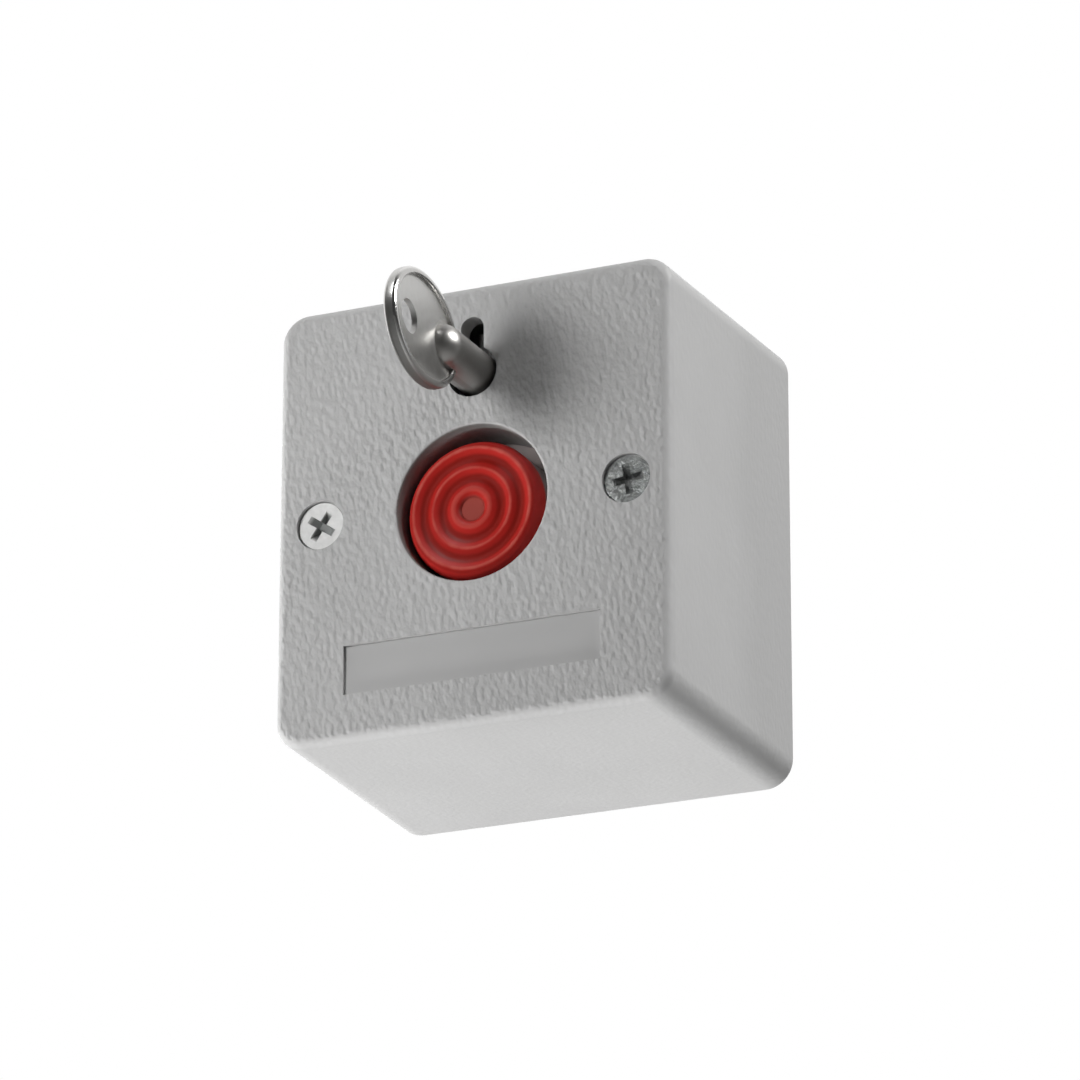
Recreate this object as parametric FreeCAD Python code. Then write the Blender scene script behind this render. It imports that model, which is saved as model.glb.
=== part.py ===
import FreeCAD, Part
import math
import os

from FreeCAD import Vector

# Keyed emergency button: a wall box with a latching red button and a reset key.
# Frame in millimetres: x to the right seen from the front, +z up, the wall at y = 0
# and the front face at y = -DEPTH. The button's axis is the line x = 0, z = 0.

# Housing
FRONT_WIDTH = 51.0
FRONT_HEIGHT = 55.0
DEPTH = 36.0
DRAFT_DEG = 1.0
CORNER_RADIUS = 3.5
FRONT_EDGE_RADIUS = 1.3
SIDE_WALL = 2.0
FRONT_WALL = 2.5
RIM_SETBACK = 0.4
LABEL_WIDTH = 33.0
LABEL_HEIGHT = 6.1
LABEL_INSET = 5.7
LABEL_DEPTH = 0.4

# Button hole and its guide collar
BUTTON_HOLE_R = 9.7
HOLE_EDGE_RADIUS = 0.35
COLLAR_WALL = 1.1

# Cover screws, countersunk, and the pillars that take them
SCREW_INSET = 5.66
SCREW_HEAD_R = 2.9
SCREW_HEAD_SINK = 0.5
SCREW_HEAD_EDGE = 0.2
SCREW_SHANK_R = 1.45
SCREW_LENGTH = 8.5
CROSS_SPAN = 3.9
CROSS_ARM = 0.95
CROSS_DEPTH = 1.2
LEFT_CROSS_DEG = 34.0
RIGHT_CROSS_DEG = -8.0
RECESS_GAP = 0.18
THREAD_GAP = 0.05
PILLAR_R = 3.2
PILLAR_NECK_R = 2.6
PILLAR_RIB_HEIGHT = 6.0
PILLAR_RIB_WIDTH = 1.2
PILLAR_RIB_REACH = 2.2
INSERT_R = 2.1
INSERT_LENGTH = 5.0

# Base plate
BASE_THICKNESS = 2.5
BASE_GAP = 0.2
BASE_CORNER_R = 1.3
WALL_HOLE_R = 2.1
WALL_HOLE_SPACING = 33.0
WALL_HOLE_Z = 11.0
WALL_SINK_R = 3.9
WALL_SINK_DEPTH = 0.8
CABLE_WAY_WIDTH = 12.0
CABLE_WAY_HEIGHT = 8.0
CABLE_WAY_Z = 9.5
CABLE_WAY_CORNER_R = 1.5

# Circuit board
BOARD_STANDOFF = 2.0
BOARD_THICKNESS = 1.6
BOARD_LEFT = 9.0
BOARD_TOP_Z = -5.0
BOARD_BOTTOM_GAP = 1.4
BOARD_EDGE = 1.0
BOARD_BOSS_R = 2.3
BOARD_SCREW_R = 1.1
BOARD_SCREW_HEAD_R = 2.1
BOARD_SCREW_HEAD_HEIGHT = 1.3
BOARD_SCREW_LENGTH = 5.0
BOARD_SCREW_EDGE = 3.0

# Lever switch
SWITCH_WIDTH = 5.8
SWITCH_HEIGHT = 6.5
SWITCH_LENGTH = 12.8
SWITCH_TOP_Z = -6.2
SWITCH_EAR_THICKNESS = 0.8
SWITCH_EAR_REACH = 2.0
PIVOT_INSET = 1.5
PIVOT_RISE = 0.9
PIVOT_PIN_R = 0.4
PIVOT_GAP = 0.07
LEVER_BARREL_R = 0.85
LEVER_WIDTH = 3.2
LEVER_THICKNESS = 0.35
LEVER_REACH = 18.5
LEVER_PRESSED_RISE = 0.12
SWITCH_PLUNGER_R = 0.9
SWITCH_PLUNGER_ARM = 3.5
SWITCH_PLUNGER_DEPTH = 2.2
PIN_WIDTH = 0.9
PIN_THICKNESS = 0.4
PIN_TAIL = 1.2
PIN_SPACING = 5.08
PIN_HOLE_R = 0.65

# Terminal block, three ways
TERMINAL_PITCH = 5.08
TERMINAL_WAYS = 3
TERMINAL_HEIGHT = 10.0
TERMINAL_DEPTH = 8.0
TERMINAL_GAP_TO_SWITCH = 1.5
TERMINAL_LIFT = 1.0
WIRE_POCKET = 3.2
WIRE_POCKET_LENGTH = 6.0
WIRE_POCKET_RISE = 1.6
TERMINAL_WELL_R = 1.8
TERMINAL_SCREW_HEAD_R = 1.6
TERMINAL_SCREW_HEAD = 1.4
TERMINAL_SCREW_R = 0.9
TERMINAL_SCREW_SINK = 0.8
TERMINAL_SLOT_WIDTH = 0.5
TERMINAL_SLOT_DEPTH = 0.7
CLAMP_THICKNESS = 0.5
CLAMP_GAP = 0.15

# Mechanism frame
TRAVEL = 3.2
PLATE_THICKNESS = 2.2
STEM_PROUD = 0.5
LEG_R = 2.8
LEG_SPACING = 27.0
LEG_Z = 19.0
LEG_HOLE_R = 1.35
PLATE_MARGIN = 3.0
PLATE_BOTTOM_Z = -8.5
PLATE_WAIST_R = 5.0
EAR_R = 3.7
TURRET_HEIGHT = 3.9
TURRET_WALL = 2.7
TURRET_CLEARANCE = 0.3
FRAME_BOSS_HEIGHT = 4.0
FRAME_SCREW_R = 1.2
FRAME_SCREW_HEAD_R = 2.2
FRAME_SCREW_HEAD_HEIGHT = 1.5
FRAME_SCREW_BITE = 3.0

# Stem, cap and return spring
STEM_R = 3.0
COLLAR_OVERHANG = 0.9
COLLAR_THICKNESS = 1.5
COLLAR_CHAMFER = 0.6
FOOT_CHAMFER = 0.5
RUNNING_GAP = 0.1
BUTTON_R = 8.6
BUTTON_SINK = 1.0
CAP_X = -0.45
CAP_Z = -0.35
RING_HEIGHT = 0.5
RING_PITCH = 2.38
FIRST_RING_R = 2.66
RING_COUNT = 3
CENTRE_FLAT_R = 1.45
BUTTON_EDGE_DROP = 0.7
CAP_WALL = 1.4
CAP_FRONT_WALL = 2.0
CAP_BOSS_R = 4.2
CAP_BOSS_LENGTH = 2.6
FLANGE_R = 10.45
FLANGE_THICKNESS = 1.2
FLANGE_GAP = 0.1
FLANGE_TO_LEAF = 1.1
SPRING_WIRE_R = 0.35
SPRING_R = 5.5
SPRING_PITCH = 1.8
SPRING_SEAT_GAP = 0.1

# Latch leaf
LEAF_THICKNESS = 0.4
LEAF_WIDTH = 2.6
LEAF_NOSE = 1.2
LEAF_GAP = 0.3
LEAF_ARM_X = 8.0
LEAF_TAB_Z = 11.2
LEAF_TAB_LENGTH = 9.0
LEAF_BEND_R = 0.8
LEAF_PAD_WIDTH = 4.8
LEAF_PAD_LENGTH = 4.6
LEAF_PAD_GAP = 0.7
LEAF_POST_HEIGHT = 4.5
LEAF_SCREW_R = 0.95
LEAF_SCREW_HEAD_R = 1.7
LEAF_SCREW_HEAD = 1.2
LEAF_SCREW_LENGTH = 3.5

# Keyhole, key and rotor
KEY_Z = 16.5
KEYHOLE_R = 3.2
KEYHOLE_SLOT_WIDTH = 3.0
KEYHOLE_SLOT_REACH = 6.95
KEY_SHANK_R = 2.7
KEY_TIP_CHAMFER = 0.5
KEY_TIP_GAP = 0.4
BIT_REACH = 6.3
BIT_THICKNESS = 2.0
BIT_GAP = 0.3
ROTOR_FRONT_GAP = 0.3
ROTOR_R = 5.0
ROTOR_NECK_R = 3.8
ROTOR_NECK_LENGTH = 3.0
ROTOR_SLOT_GAP = 0.3
ROTOR_BIT_SEAT = 1.2
ROTOR_FLOOR = 0.6
CAM_REACH = 6.2
CAM_NOSE_R = 1.2
CAM_HUB_R = 3.6
JOURNAL_R = 3.0
CLIP_GROOVE_R = 2.5
CLIP_THICKNESS = 0.6
CLIP_R = 4.2
CLIP_MOUTH = 3.0
CLIP_GAP = 0.1
BOW_CENTRE = 14.1
BOW_LIFT = 0.3
BOW_HALF_LENGTH = 8.9
BOW_HALF_HEIGHT = 7.05
BOW_THICKNESS = 1.7
BOW_WEB = 0.7
BOW_RIM = 1.0
BOW_EDGE_RADIUS = 0.6
RIM_EDGE_RADIUS = 0.25
BOW_TURN_DEG = -2.0
DOME_REACH = 6.0
RING_HOLE_R = 2.1
RING_HOLE_OFFSET = 3.95

# Levels along the depth, from the front
FRONT_Y = -DEPTH
INNER_Y = FRONT_Y + FRONT_WALL
FLARE = math.tan(math.radians(DRAFT_DEG))
BUTTON_Y = FRONT_Y + BUTTON_SINK
CAP_INNER_Y = BUTTON_Y + RING_HEIGHT + CAP_FRONT_WALL
ROTOR_FRONT_Y = INNER_Y + ROTOR_FRONT_GAP
BIT_FRONT_Y = ROTOR_FRONT_Y + ROTOR_BIT_SEAT

# Levels along the depth, from the wall
BASE_Y = -BASE_THICKNESS
BOARD_BACK_Y = BASE_Y - BOARD_STANDOFF
BOARD_Y = BOARD_BACK_Y - BOARD_THICKNESS
SWITCH_Y = BOARD_Y - SWITCH_HEIGHT
PIVOT_Y = SWITCH_Y - PIVOT_RISE
LEVER_PRESSED_Y = PIVOT_Y - LEVER_PRESSED_RISE
LEVER_REST_Y = LEVER_PRESSED_Y - TRAVEL
FOOT_Y = LEVER_REST_Y - LEVER_THICKNESS / 2 - LEAF_GAP
PLATE_BACK_Y = FOOT_Y - STEM_PROUD
PLATE_Y = PLATE_BACK_Y - PLATE_THICKNESS
LEAF_BACK_Y = PLATE_Y - LEAF_GAP
LEAF_Y = LEAF_BACK_Y - LEAF_WIDTH
TURRET_Y = PLATE_Y - TURRET_HEIGHT
COLLAR_BACK_Y = PLATE_Y - FLANGE_GAP - TRAVEL
COLLAR_Y = COLLAR_BACK_Y - COLLAR_THICKNESS
FLANGE_BACK_Y = LEAF_Y - TRAVEL - FLANGE_TO_LEAF
FLANGE_Y = FLANGE_BACK_Y - FLANGE_THICKNESS
GUIDE_BACK_Y = FLANGE_Y - FLANGE_GAP
HEAD_BACK_Y = LEAF_Y - ROTOR_NECK_LENGTH
BIT_BACK_Y = HEAD_BACK_Y - 2 * ROTOR_FLOOR - BIT_GAP
SOCKET_FLOOR_Y = LEAF_Y - ROTOR_FLOOR
KEY_TIP_Y = SOCKET_FLOOR_Y - KEY_TIP_GAP

# Places across the front
SCREW_X = FRONT_WIDTH / 2 - SCREW_INSET
LABEL_BOTTOM_Z = -FRONT_HEIGHT / 2 + LABEL_INSET
BOW_Z = KEY_Z + BOW_LIFT
COLLAR_R = STEM_R + COLLAR_OVERHANG
TURRET_BORE_R = COLLAR_R + TURRET_CLEARANCE
TURRET_R = TURRET_BORE_R + TURRET_WALL
GUIDE_R = BUTTON_HOLE_R + COLLAR_WALL
LEAF_TOP_Z = -STEM_R - LEAF_GAP
LEAF_PAD_X = CAP_X - FLANGE_R - LEAF_PAD_GAP - LEAF_PAD_LENGTH
SWITCH_BOTTOM_Z = SWITCH_TOP_Z - SWITCH_LENGTH
PIVOT_Z = SWITCH_BOTTOM_Z + PIVOT_INSET
TERMINAL_LEFT = SWITCH_WIDTH / 2 + TERMINAL_GAP_TO_SWITCH
TERMINAL_WIDTH = TERMINAL_WAYS * TERMINAL_PITCH
BOARD_RIGHT = TERMINAL_LEFT + TERMINAL_WIDTH + BOARD_EDGE
BASE_HALF_WIDTH = FRONT_WIDTH / 2 - SIDE_WALL + (DEPTH - BASE_THICKNESS) * FLARE - BASE_GAP
BASE_HALF_HEIGHT = BASE_HALF_WIDTH + (FRONT_HEIGHT - FRONT_WIDTH) / 2
BOARD_BOTTOM_Z = -BASE_HALF_HEIGHT + BOARD_BOTTOM_GAP
TERMINAL_BOTTOM_Z = BOARD_BOTTOM_Z + TERMINAL_LIFT
TERMINAL_TOP_Z = TERMINAL_BOTTOM_Z + TERMINAL_DEPTH
LEG_X = LEG_SPACING / 2

BACKWARDS = Vector(0, 1, 0)


def rod(radius, front, back, x=0.0, z=0.0):
    """Round bar along the depth, from one y level to another."""
    return Part.makeCylinder(radius, back - front, Vector(x, front, z), BACKWARDS)


def taper(front_radius, back_radius, front, back, x=0.0, z=0.0):
    """Cone along the depth."""
    return Part.makeCone(front_radius, back_radius, back - front, Vector(x, front, z), BACKWARDS)


def block(x_low, x_high, front, back, z_low, z_high):
    """Box between two corners."""
    corner = Vector(x_low, front, z_low)
    return Part.makeBox(x_high - x_low, back - front, z_high - z_low, corner)


def rounded_outline(half_width, half_height, radius, level):
    """Closed wire of a rounded rectangle that stands in the plane y = level."""
    edges = []
    slant = radius * math.sqrt(0.5)
    for quarter in range(4):
        across = half_width if quarter % 2 == 0 else half_height
        along = half_height if quarter % 2 == 0 else half_width
        turn = FreeCAD.Rotation(BACKWARDS, 90.0 * quarter)
        start = Vector(across, 0, -along + radius)
        end = Vector(across, 0, along - radius)
        centre = Vector(across - radius, 0, along - radius)
        middle = centre + Vector(slant, 0, slant)
        finish = centre + Vector(0, 0, radius)
        lift = Vector(0, level, 0)
        line = [turn.multVec(p) + lift for p in (start, end)]
        bend = [turn.multVec(p) + lift for p in (end, middle, finish)]
        edges.append(Part.LineSegment(*line).toShape())
        edges.append(Part.Arc(*bend).toShape())
    return Part.Wire(Part.__sortEdges__(edges))


def rounded_plate(half_width, half_height, radius, front, back, x=0.0, z=0.0):
    """Plate with rounded corners between two y levels."""
    face = Part.Face(rounded_outline(half_width, half_height, radius, front))
    plate = face.extrude(Vector(0, back - front, 0))
    plate.translate(Vector(x, 0, z))
    return plate


def drafted_block(inset, front, back, radius):
    """Block whose walls follow the housing's draft, a given distance inside its outer walls."""
    outlines = []
    for level in (front, back):
        grow = (level - FRONT_Y) * FLARE - inset
        half_width = FRONT_WIDTH / 2 + grow
        half_height = FRONT_HEIGHT / 2 + grow
        outlines.append(rounded_outline(half_width, half_height, radius, level))
    return Part.makeLoft(outlines, True, True)


def edges_at_level(shape, level):
    """Edges that lie wholly in the plane y = level."""
    found = []
    for edge in shape.Edges:
        box = edge.BoundBox
        if abs(box.YMin - level) < 1e-4 and abs(box.YMax - level) < 1e-4:
            found.append(edge)
    return found


def cross_recess(x, z, turn_deg, front):
    """Two crossed wedges, widest at the head's face, that cut a cross recess."""
    wedges = []
    for quarter in (0.0, 90.0):
        half_span = CROSS_SPAN / 2
        floor = CROSS_SPAN / 5
        profile = [
            Vector(-half_span, front - CROSS_ARM, 0),
            Vector(half_span, front - CROSS_ARM, 0),
            Vector(half_span, front, 0),
            Vector(floor, front + CROSS_DEPTH, 0),
            Vector(-floor, front + CROSS_DEPTH, 0),
            Vector(-half_span, front, 0),
        ]
        face = Part.Face(Part.makePolygon(profile + profile[:1]))
        face.translate(Vector(0, 0, -CROSS_ARM / 2))
        wedge = face.extrude(Vector(0, 0, CROSS_ARM))
        wedge.rotate(Vector(0, 0, 0), BACKWARDS, quarter + turn_deg)
        wedge.translate(Vector(x, 0, z))
        wedges.append(wedge)
    return wedges[0].fuse(wedges[1])


def revolved(profile):
    """Solid turned about the depth axis from an outline in the plane z = 0."""
    return Part.Face(profile).revolve(Vector(0, 0, 0), BACKWARDS, 360)


def keyhole_cutter(front, back, hole_radius, slot_width, reach):
    """Round hole with a straight slot upwards that ends in a half circle."""
    hole = rod(hole_radius, front, back, 0, KEY_Z)
    tip_z = KEY_Z + reach - slot_width / 2
    slot = block(-slot_width / 2, slot_width / 2, front, back, KEY_Z, tip_z)
    return hole.multiFuse([slot, rod(slot_width / 2, front, back, 0, tip_z)])


def screw_seat(x):
    """Recess and countersink for one cover screw in the cover's front wall."""
    cone_front = FRONT_Y + SCREW_HEAD_SINK + SCREW_HEAD_EDGE
    hole_radius = SCREW_SHANK_R + RECESS_GAP
    top_radius = SCREW_HEAD_R + THREAD_GAP
    cone_back = cone_front + top_radius - hole_radius
    recess = rod(SCREW_HEAD_R + RECESS_GAP, FRONT_Y, cone_front, x)
    cone = taper(top_radius, hole_radius, cone_front, cone_back, x)
    return recess.multiFuse([cone, rod(hole_radius, cone_front, INNER_Y, x)])


def make_front_cover():
    shell = drafted_block(0.0, FRONT_Y, -RIM_SETBACK, CORNER_RADIUS)
    edge_radius = min(FRONT_EDGE_RADIUS, SIDE_WALL * 0.9, FRONT_WALL * 0.9)
    shell = shell.makeFillet(edge_radius, edges_at_level(shell, FRONT_Y))
    inner_corner = CORNER_RADIUS - SIDE_WALL
    shell = shell.cut(drafted_block(SIDE_WALL, INNER_Y, 0.0, inner_corner))
    guide = rod(GUIDE_R, INNER_Y, GUIDE_BACK_Y)
    shell = shell.fuse(guide).cut(rod(BUTTON_HOLE_R, FRONT_Y, GUIDE_BACK_Y))
    rim = [e for e in edges_at_level(shell, FRONT_Y) if abs(e.BoundBox.XMax - BUTTON_HOLE_R) < 1e-3]
    shell = shell.makeFillet(HOLE_EDGE_RADIUS, rim)
    keyhole = keyhole_cutter(FRONT_Y, INNER_Y, KEYHOLE_R, KEYHOLE_SLOT_WIDTH, KEYHOLE_SLOT_REACH)
    label = block(
        -LABEL_WIDTH / 2,
        LABEL_WIDTH / 2,
        FRONT_Y,
        FRONT_Y + LABEL_DEPTH,
        LABEL_BOTTOM_Z,
        LABEL_BOTTOM_Z + LABEL_HEIGHT,
    )
    return shell.cut([keyhole, label, screw_seat(-SCREW_X), screw_seat(SCREW_X)])


def make_cover_screw(x, cross_turn_deg):
    head_y = FRONT_Y + SCREW_HEAD_SINK
    cone_y = head_y + SCREW_HEAD_EDGE
    neck_y = cone_y + SCREW_HEAD_R - SCREW_SHANK_R
    edge = rod(SCREW_HEAD_R, head_y, cone_y, x)
    cone = taper(SCREW_HEAD_R, SCREW_SHANK_R, cone_y, neck_y, x)
    shank = rod(SCREW_SHANK_R, neck_y, head_y + SCREW_LENGTH, x)
    screw = edge.multiFuse([cone, shank]).removeSplitter()
    return screw.cut(cross_recess(x, 0.0, cross_turn_deg, head_y))


def make_insert(x):
    bush = rod(INSERT_R, INNER_Y, INNER_Y + INSERT_LENGTH, x)
    return bush.cut(rod(SCREW_SHANK_R + THREAD_GAP, INNER_Y, INNER_Y + INSERT_LENGTH, x))


def make_pillar(x):
    """Pillar for one cover screw, necked where the frame's ear slips over it."""
    neck = rod(PILLAR_NECK_R, INNER_Y, PLATE_BACK_Y, x)
    foot = rod(PILLAR_R, PLATE_BACK_Y, BASE_Y, x)
    rib_top = BASE_Y - PILLAR_RIB_HEIGHT
    parts = [foot]
    for side in (-1, 1):
        reach = side * (PILLAR_R + PILLAR_RIB_REACH)
        corners = [Vector(x, BASE_Y, 0), Vector(x, BASE_Y, reach), Vector(x, rib_top, 0)]
        face = Part.Face(Part.makePolygon(corners + corners[:1]))
        face.translate(Vector(-PILLAR_RIB_WIDTH / 2, 0, 0))
        parts.append(face.extrude(Vector(PILLAR_RIB_WIDTH, 0, 0)))
    pillar = neck.multiFuse(parts)
    seat = rod(INSERT_R + THREAD_GAP, INNER_Y, INNER_Y + INSERT_LENGTH, x)
    drill = rod(SCREW_SHANK_R + RECESS_GAP, INNER_Y, INNER_Y + SCREW_LENGTH, x)
    return pillar.cut([seat, drill])


def board_screw_places():
    low = (-BOARD_LEFT + BOARD_SCREW_EDGE, BOARD_BOTTOM_Z + BOARD_SCREW_EDGE)
    high = (BOARD_RIGHT - 2 * BOARD_SCREW_EDGE, BOARD_TOP_Z - BOARD_SCREW_EDGE)
    return (low, high)


def make_base_plate():
    plate = rounded_plate(BASE_HALF_WIDTH, BASE_HALF_HEIGHT, BASE_CORNER_R, BASE_Y, 0.0)
    parts = [make_pillar(-SCREW_X), make_pillar(SCREW_X)]
    for x, z in board_screw_places():
        parts.append(rod(BOARD_BOSS_R, BOARD_BACK_Y, BASE_Y, x, z))
    for x in (-LEG_X, LEG_X):
        parts.append(rod(LEG_R, BASE_Y - FRAME_BOSS_HEIGHT, BASE_Y, x, LEG_Z))
    plate = plate.multiFuse(parts)
    cuts = [
        rounded_plate(
            CABLE_WAY_WIDTH / 2, CABLE_WAY_HEIGHT / 2, CABLE_WAY_CORNER_R, BASE_Y, 0.0, 0.0, CABLE_WAY_Z
        )
    ]
    for x, z in board_screw_places():
        tip = BOARD_Y + BOARD_SCREW_LENGTH
        cuts.append(rod(BOARD_SCREW_R + THREAD_GAP, BOARD_BACK_Y, tip + RECESS_GAP, x, z))
    for side in (-1, 1):
        x = side * WALL_HOLE_SPACING / 2
        cuts.append(rod(WALL_HOLE_R, BASE_Y, 0.0, x, WALL_HOLE_Z))
        cuts.append(rod(WALL_SINK_R, BASE_Y, BASE_Y + WALL_SINK_DEPTH, x, WALL_HOLE_Z))
        boss_y = BASE_Y - FRAME_BOSS_HEIGHT
        tip = boss_y + FRAME_SCREW_BITE + RECESS_GAP
        cuts.append(rod(FRAME_SCREW_R + THREAD_GAP, boss_y, tip, side * LEG_X, LEG_Z))
    return plate.cut(cuts).removeSplitter()


def frame_outline():
    """Outer wire of the frame plate: legs at the top, ears at the pillars, stem guide below."""
    corners = [
        Vector(-LEG_X, 0, LEG_Z),
        Vector(LEG_X, 0, LEG_Z),
        Vector(SCREW_X - EAR_R, 0, EAR_R - PLATE_MARGIN),
        Vector(SCREW_X - EAR_R, 0, PLATE_MARGIN - EAR_R),
        Vector(TURRET_R, 0, PLATE_BOTTOM_Z + PLATE_MARGIN),
        Vector(-TURRET_R, 0, PLATE_BOTTOM_Z + PLATE_MARGIN),
        Vector(-SCREW_X + EAR_R, 0, PLATE_MARGIN - EAR_R),
        Vector(-SCREW_X + EAR_R, 0, EAR_R - PLATE_MARGIN),
    ]
    wire = Part.makePolygon(corners + corners[:1])
    return Part.Face(wire).makeOffset2D(PLATE_MARGIN)


def make_mechanism_frame():
    plate = frame_outline()
    plate.translate(Vector(0, PLATE_Y, 0))
    frame = plate.extrude(Vector(0, PLATE_THICKNESS, 0))
    legs = [rod(LEG_R, PLATE_Y, BASE_Y - FRAME_BOSS_HEIGHT, x, LEG_Z) for x in (-LEG_X, LEG_X)]
    ears = [rod(EAR_R, PLATE_Y, PLATE_BACK_Y, x) for x in (-SCREW_X, SCREW_X)]
    turret = rod(TURRET_R, TURRET_Y, PLATE_Y)
    post = block(
        LEAF_PAD_X,
        LEAF_PAD_X + LEAF_PAD_LENGTH,
        LEAF_BACK_Y - LEAF_PAD_WIDTH,
        PLATE_Y,
        LEAF_TOP_Z,
        LEAF_TOP_Z + LEAF_POST_HEIGHT,
    )
    frame = frame.multiFuse(legs + ears + [turret, post])
    slot_low = LEAF_TOP_Z - LEAF_THICKNESS - COLLAR_OVERHANG - LEAF_GAP
    cuts = [
        rod(STEM_R + RUNNING_GAP, PLATE_Y, PLATE_BACK_Y),
        rod(TURRET_BORE_R, TURRET_Y, PLATE_Y),
        rod(JOURNAL_R + RUNNING_GAP, PLATE_Y, PLATE_BACK_Y, 0, KEY_Z),
        block(-TURRET_R, TURRET_R, LEAF_Y - LEAF_GAP, PLATE_Y, slot_low, LEAF_TOP_Z + LEAF_GAP),
    ]
    for side in (-1, 1):
        cuts.append(rod(PILLAR_NECK_R + RUNNING_GAP, PLATE_Y, PLATE_BACK_Y, side * SCREW_X))
        cuts.append(rod(LEG_HOLE_R, PLATE_Y, BASE_Y, side * LEG_X, LEG_Z))
        waist_x = side * WALL_HOLE_SPACING / 2
        cuts.append(rod(PLATE_WAIST_R, PLATE_Y, PLATE_BACK_Y, waist_x, WALL_HOLE_Z))
    cuts.append(leaf_screw_bore())
    return frame.cut(cuts).removeSplitter()


def leaf_screw_centre():
    x = LEAF_PAD_X + LEAF_PAD_LENGTH / 2
    y = LEAF_BACK_Y - LEAF_PAD_WIDTH / 2
    return x, y


def leaf_screw_bore():
    x, y = leaf_screw_centre()
    low = LEAF_TOP_Z - LEAF_THICKNESS
    depth = LEAF_THICKNESS + LEAF_SCREW_LENGTH + RECESS_GAP
    return Part.makeCylinder(LEAF_SCREW_R + THREAD_GAP, depth, Vector(x, y, low))


def make_leaf_screw():
    x, y = leaf_screw_centre()
    under = LEAF_TOP_Z - LEAF_THICKNESS
    head = Part.makeCylinder(LEAF_SCREW_HEAD_R, LEAF_SCREW_HEAD, Vector(x, y, under - LEAF_SCREW_HEAD))
    shank = Part.makeCylinder(LEAF_SCREW_R, LEAF_THICKNESS + LEAF_SCREW_LENGTH, Vector(x, y, under))
    slot_low = under - LEAF_SCREW_HEAD
    slot = Part.makeBox(
        2 * LEAF_SCREW_HEAD_R,
        TERMINAL_SLOT_WIDTH,
        TERMINAL_SLOT_DEPTH,
        Vector(x - LEAF_SCREW_HEAD_R, y - TERMINAL_SLOT_WIDTH / 2, slot_low),
    )
    return head.fuse(shank).cut(slot).removeSplitter()


def make_latch_leaf():
    """Bent strip: fixed pad, nose under the stem, arm up beside it and tab under the cam."""
    low = LEAF_TOP_Z - LEAF_THICKNESS
    tab_end = LEAF_ARM_X - LEAF_TAB_LENGTH
    outer = [
        Vector(LEAF_PAD_X, LEAF_Y, low),
        Vector(LEAF_ARM_X + LEAF_THICKNESS, LEAF_Y, low),
        Vector(LEAF_ARM_X + LEAF_THICKNESS, LEAF_Y, LEAF_TAB_Z),
        Vector(tab_end, LEAF_Y, LEAF_TAB_Z),
        Vector(tab_end, LEAF_Y, LEAF_TAB_Z - LEAF_THICKNESS),
        Vector(LEAF_ARM_X, LEAF_Y, LEAF_TAB_Z - LEAF_THICKNESS),
        Vector(LEAF_ARM_X, LEAF_Y, LEAF_TOP_Z),
        Vector(LEAF_PAD_X, LEAF_Y, LEAF_TOP_Z),
    ]
    strip = Part.Face(Part.makePolygon(outer + outer[:1])).extrude(Vector(0, LEAF_WIDTH, 0))
    strip = strip.makeFillet(LEAF_BEND_R + LEAF_THICKNESS, corner_edges(strip, LEAF_ARM_X + LEAF_THICKNESS))
    strip = strip.makeFillet(LEAF_BEND_R, corner_edges(strip, LEAF_ARM_X))
    pad_end = LEAF_PAD_X + LEAF_PAD_LENGTH
    pad = block(LEAF_PAD_X, pad_end, LEAF_BACK_Y - LEAF_PAD_WIDTH, LEAF_BACK_Y, low, LEAF_TOP_Z)
    behind_nose = block(-COLLAR_R, COLLAR_R, LEAF_Y + LEAF_NOSE, LEAF_BACK_Y, low, LEAF_TOP_Z)
    return strip.fuse(pad).cut([behind_nose, leaf_screw_bore()]).removeSplitter()


def corner_edges(shape, x):
    """Edges along the depth that stand at the given x."""
    found = []
    for edge in shape.Edges:
        box = edge.BoundBox
        upright = box.YMax - box.YMin > LEAF_WIDTH / 2
        if upright and abs(box.XMin - x) < 1e-4 and abs(box.XMax - x) < 1e-4:
            found.append(edge)
    return found


def make_frame_screws():
    screws = []
    for x in (-LEG_X, LEG_X):
        head = rod(FRAME_SCREW_HEAD_R, PLATE_Y - FRAME_SCREW_HEAD_HEIGHT, PLATE_Y, x, LEG_Z)
        tip = BASE_Y - FRAME_BOSS_HEIGHT + FRAME_SCREW_BITE
        screw = head.fuse(rod(FRAME_SCREW_R, PLATE_Y, tip, x, LEG_Z))
        slot = block(
            x - FRAME_SCREW_HEAD_R,
            x + FRAME_SCREW_HEAD_R,
            PLATE_Y - FRAME_SCREW_HEAD_HEIGHT,
            PLATE_Y - FRAME_SCREW_HEAD_HEIGHT + TERMINAL_SLOT_DEPTH,
            LEG_Z - TERMINAL_SLOT_WIDTH / 2,
            LEG_Z + TERMINAL_SLOT_WIDTH / 2,
        )
        screws.append(screw.cut(slot).removeSplitter())
    return Part.makeCompound(screws)


def cap_face_profile():
    """Front line of the red cap: a flat centre, then rings as a wave, then a rounded edge."""
    low = BUTTON_Y + RING_HEIGHT
    points = [Vector(CENTRE_FLAT_R, low, 0)]
    for ring in range(RING_COUNT):
        crest = FIRST_RING_R + ring * RING_PITCH
        points.append(Vector(crest, BUTTON_Y, 0))
        points.append(Vector(crest + RING_PITCH / 2, low, 0))
    points[-1] = Vector(BUTTON_R - BUTTON_EDGE_DROP / 2, low, 0)
    wave = Part.BSplineCurve()
    wave.interpolate(points)
    flat = Part.LineSegment(Vector(0, low, 0), points[0])
    corner = Vector(BUTTON_R, low + BUTTON_EDGE_DROP, 0)
    edge = Part.LineSegment(points[-1], corner)
    return [flat.toShape(), wave.toShape(), edge.toShape()], corner


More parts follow.
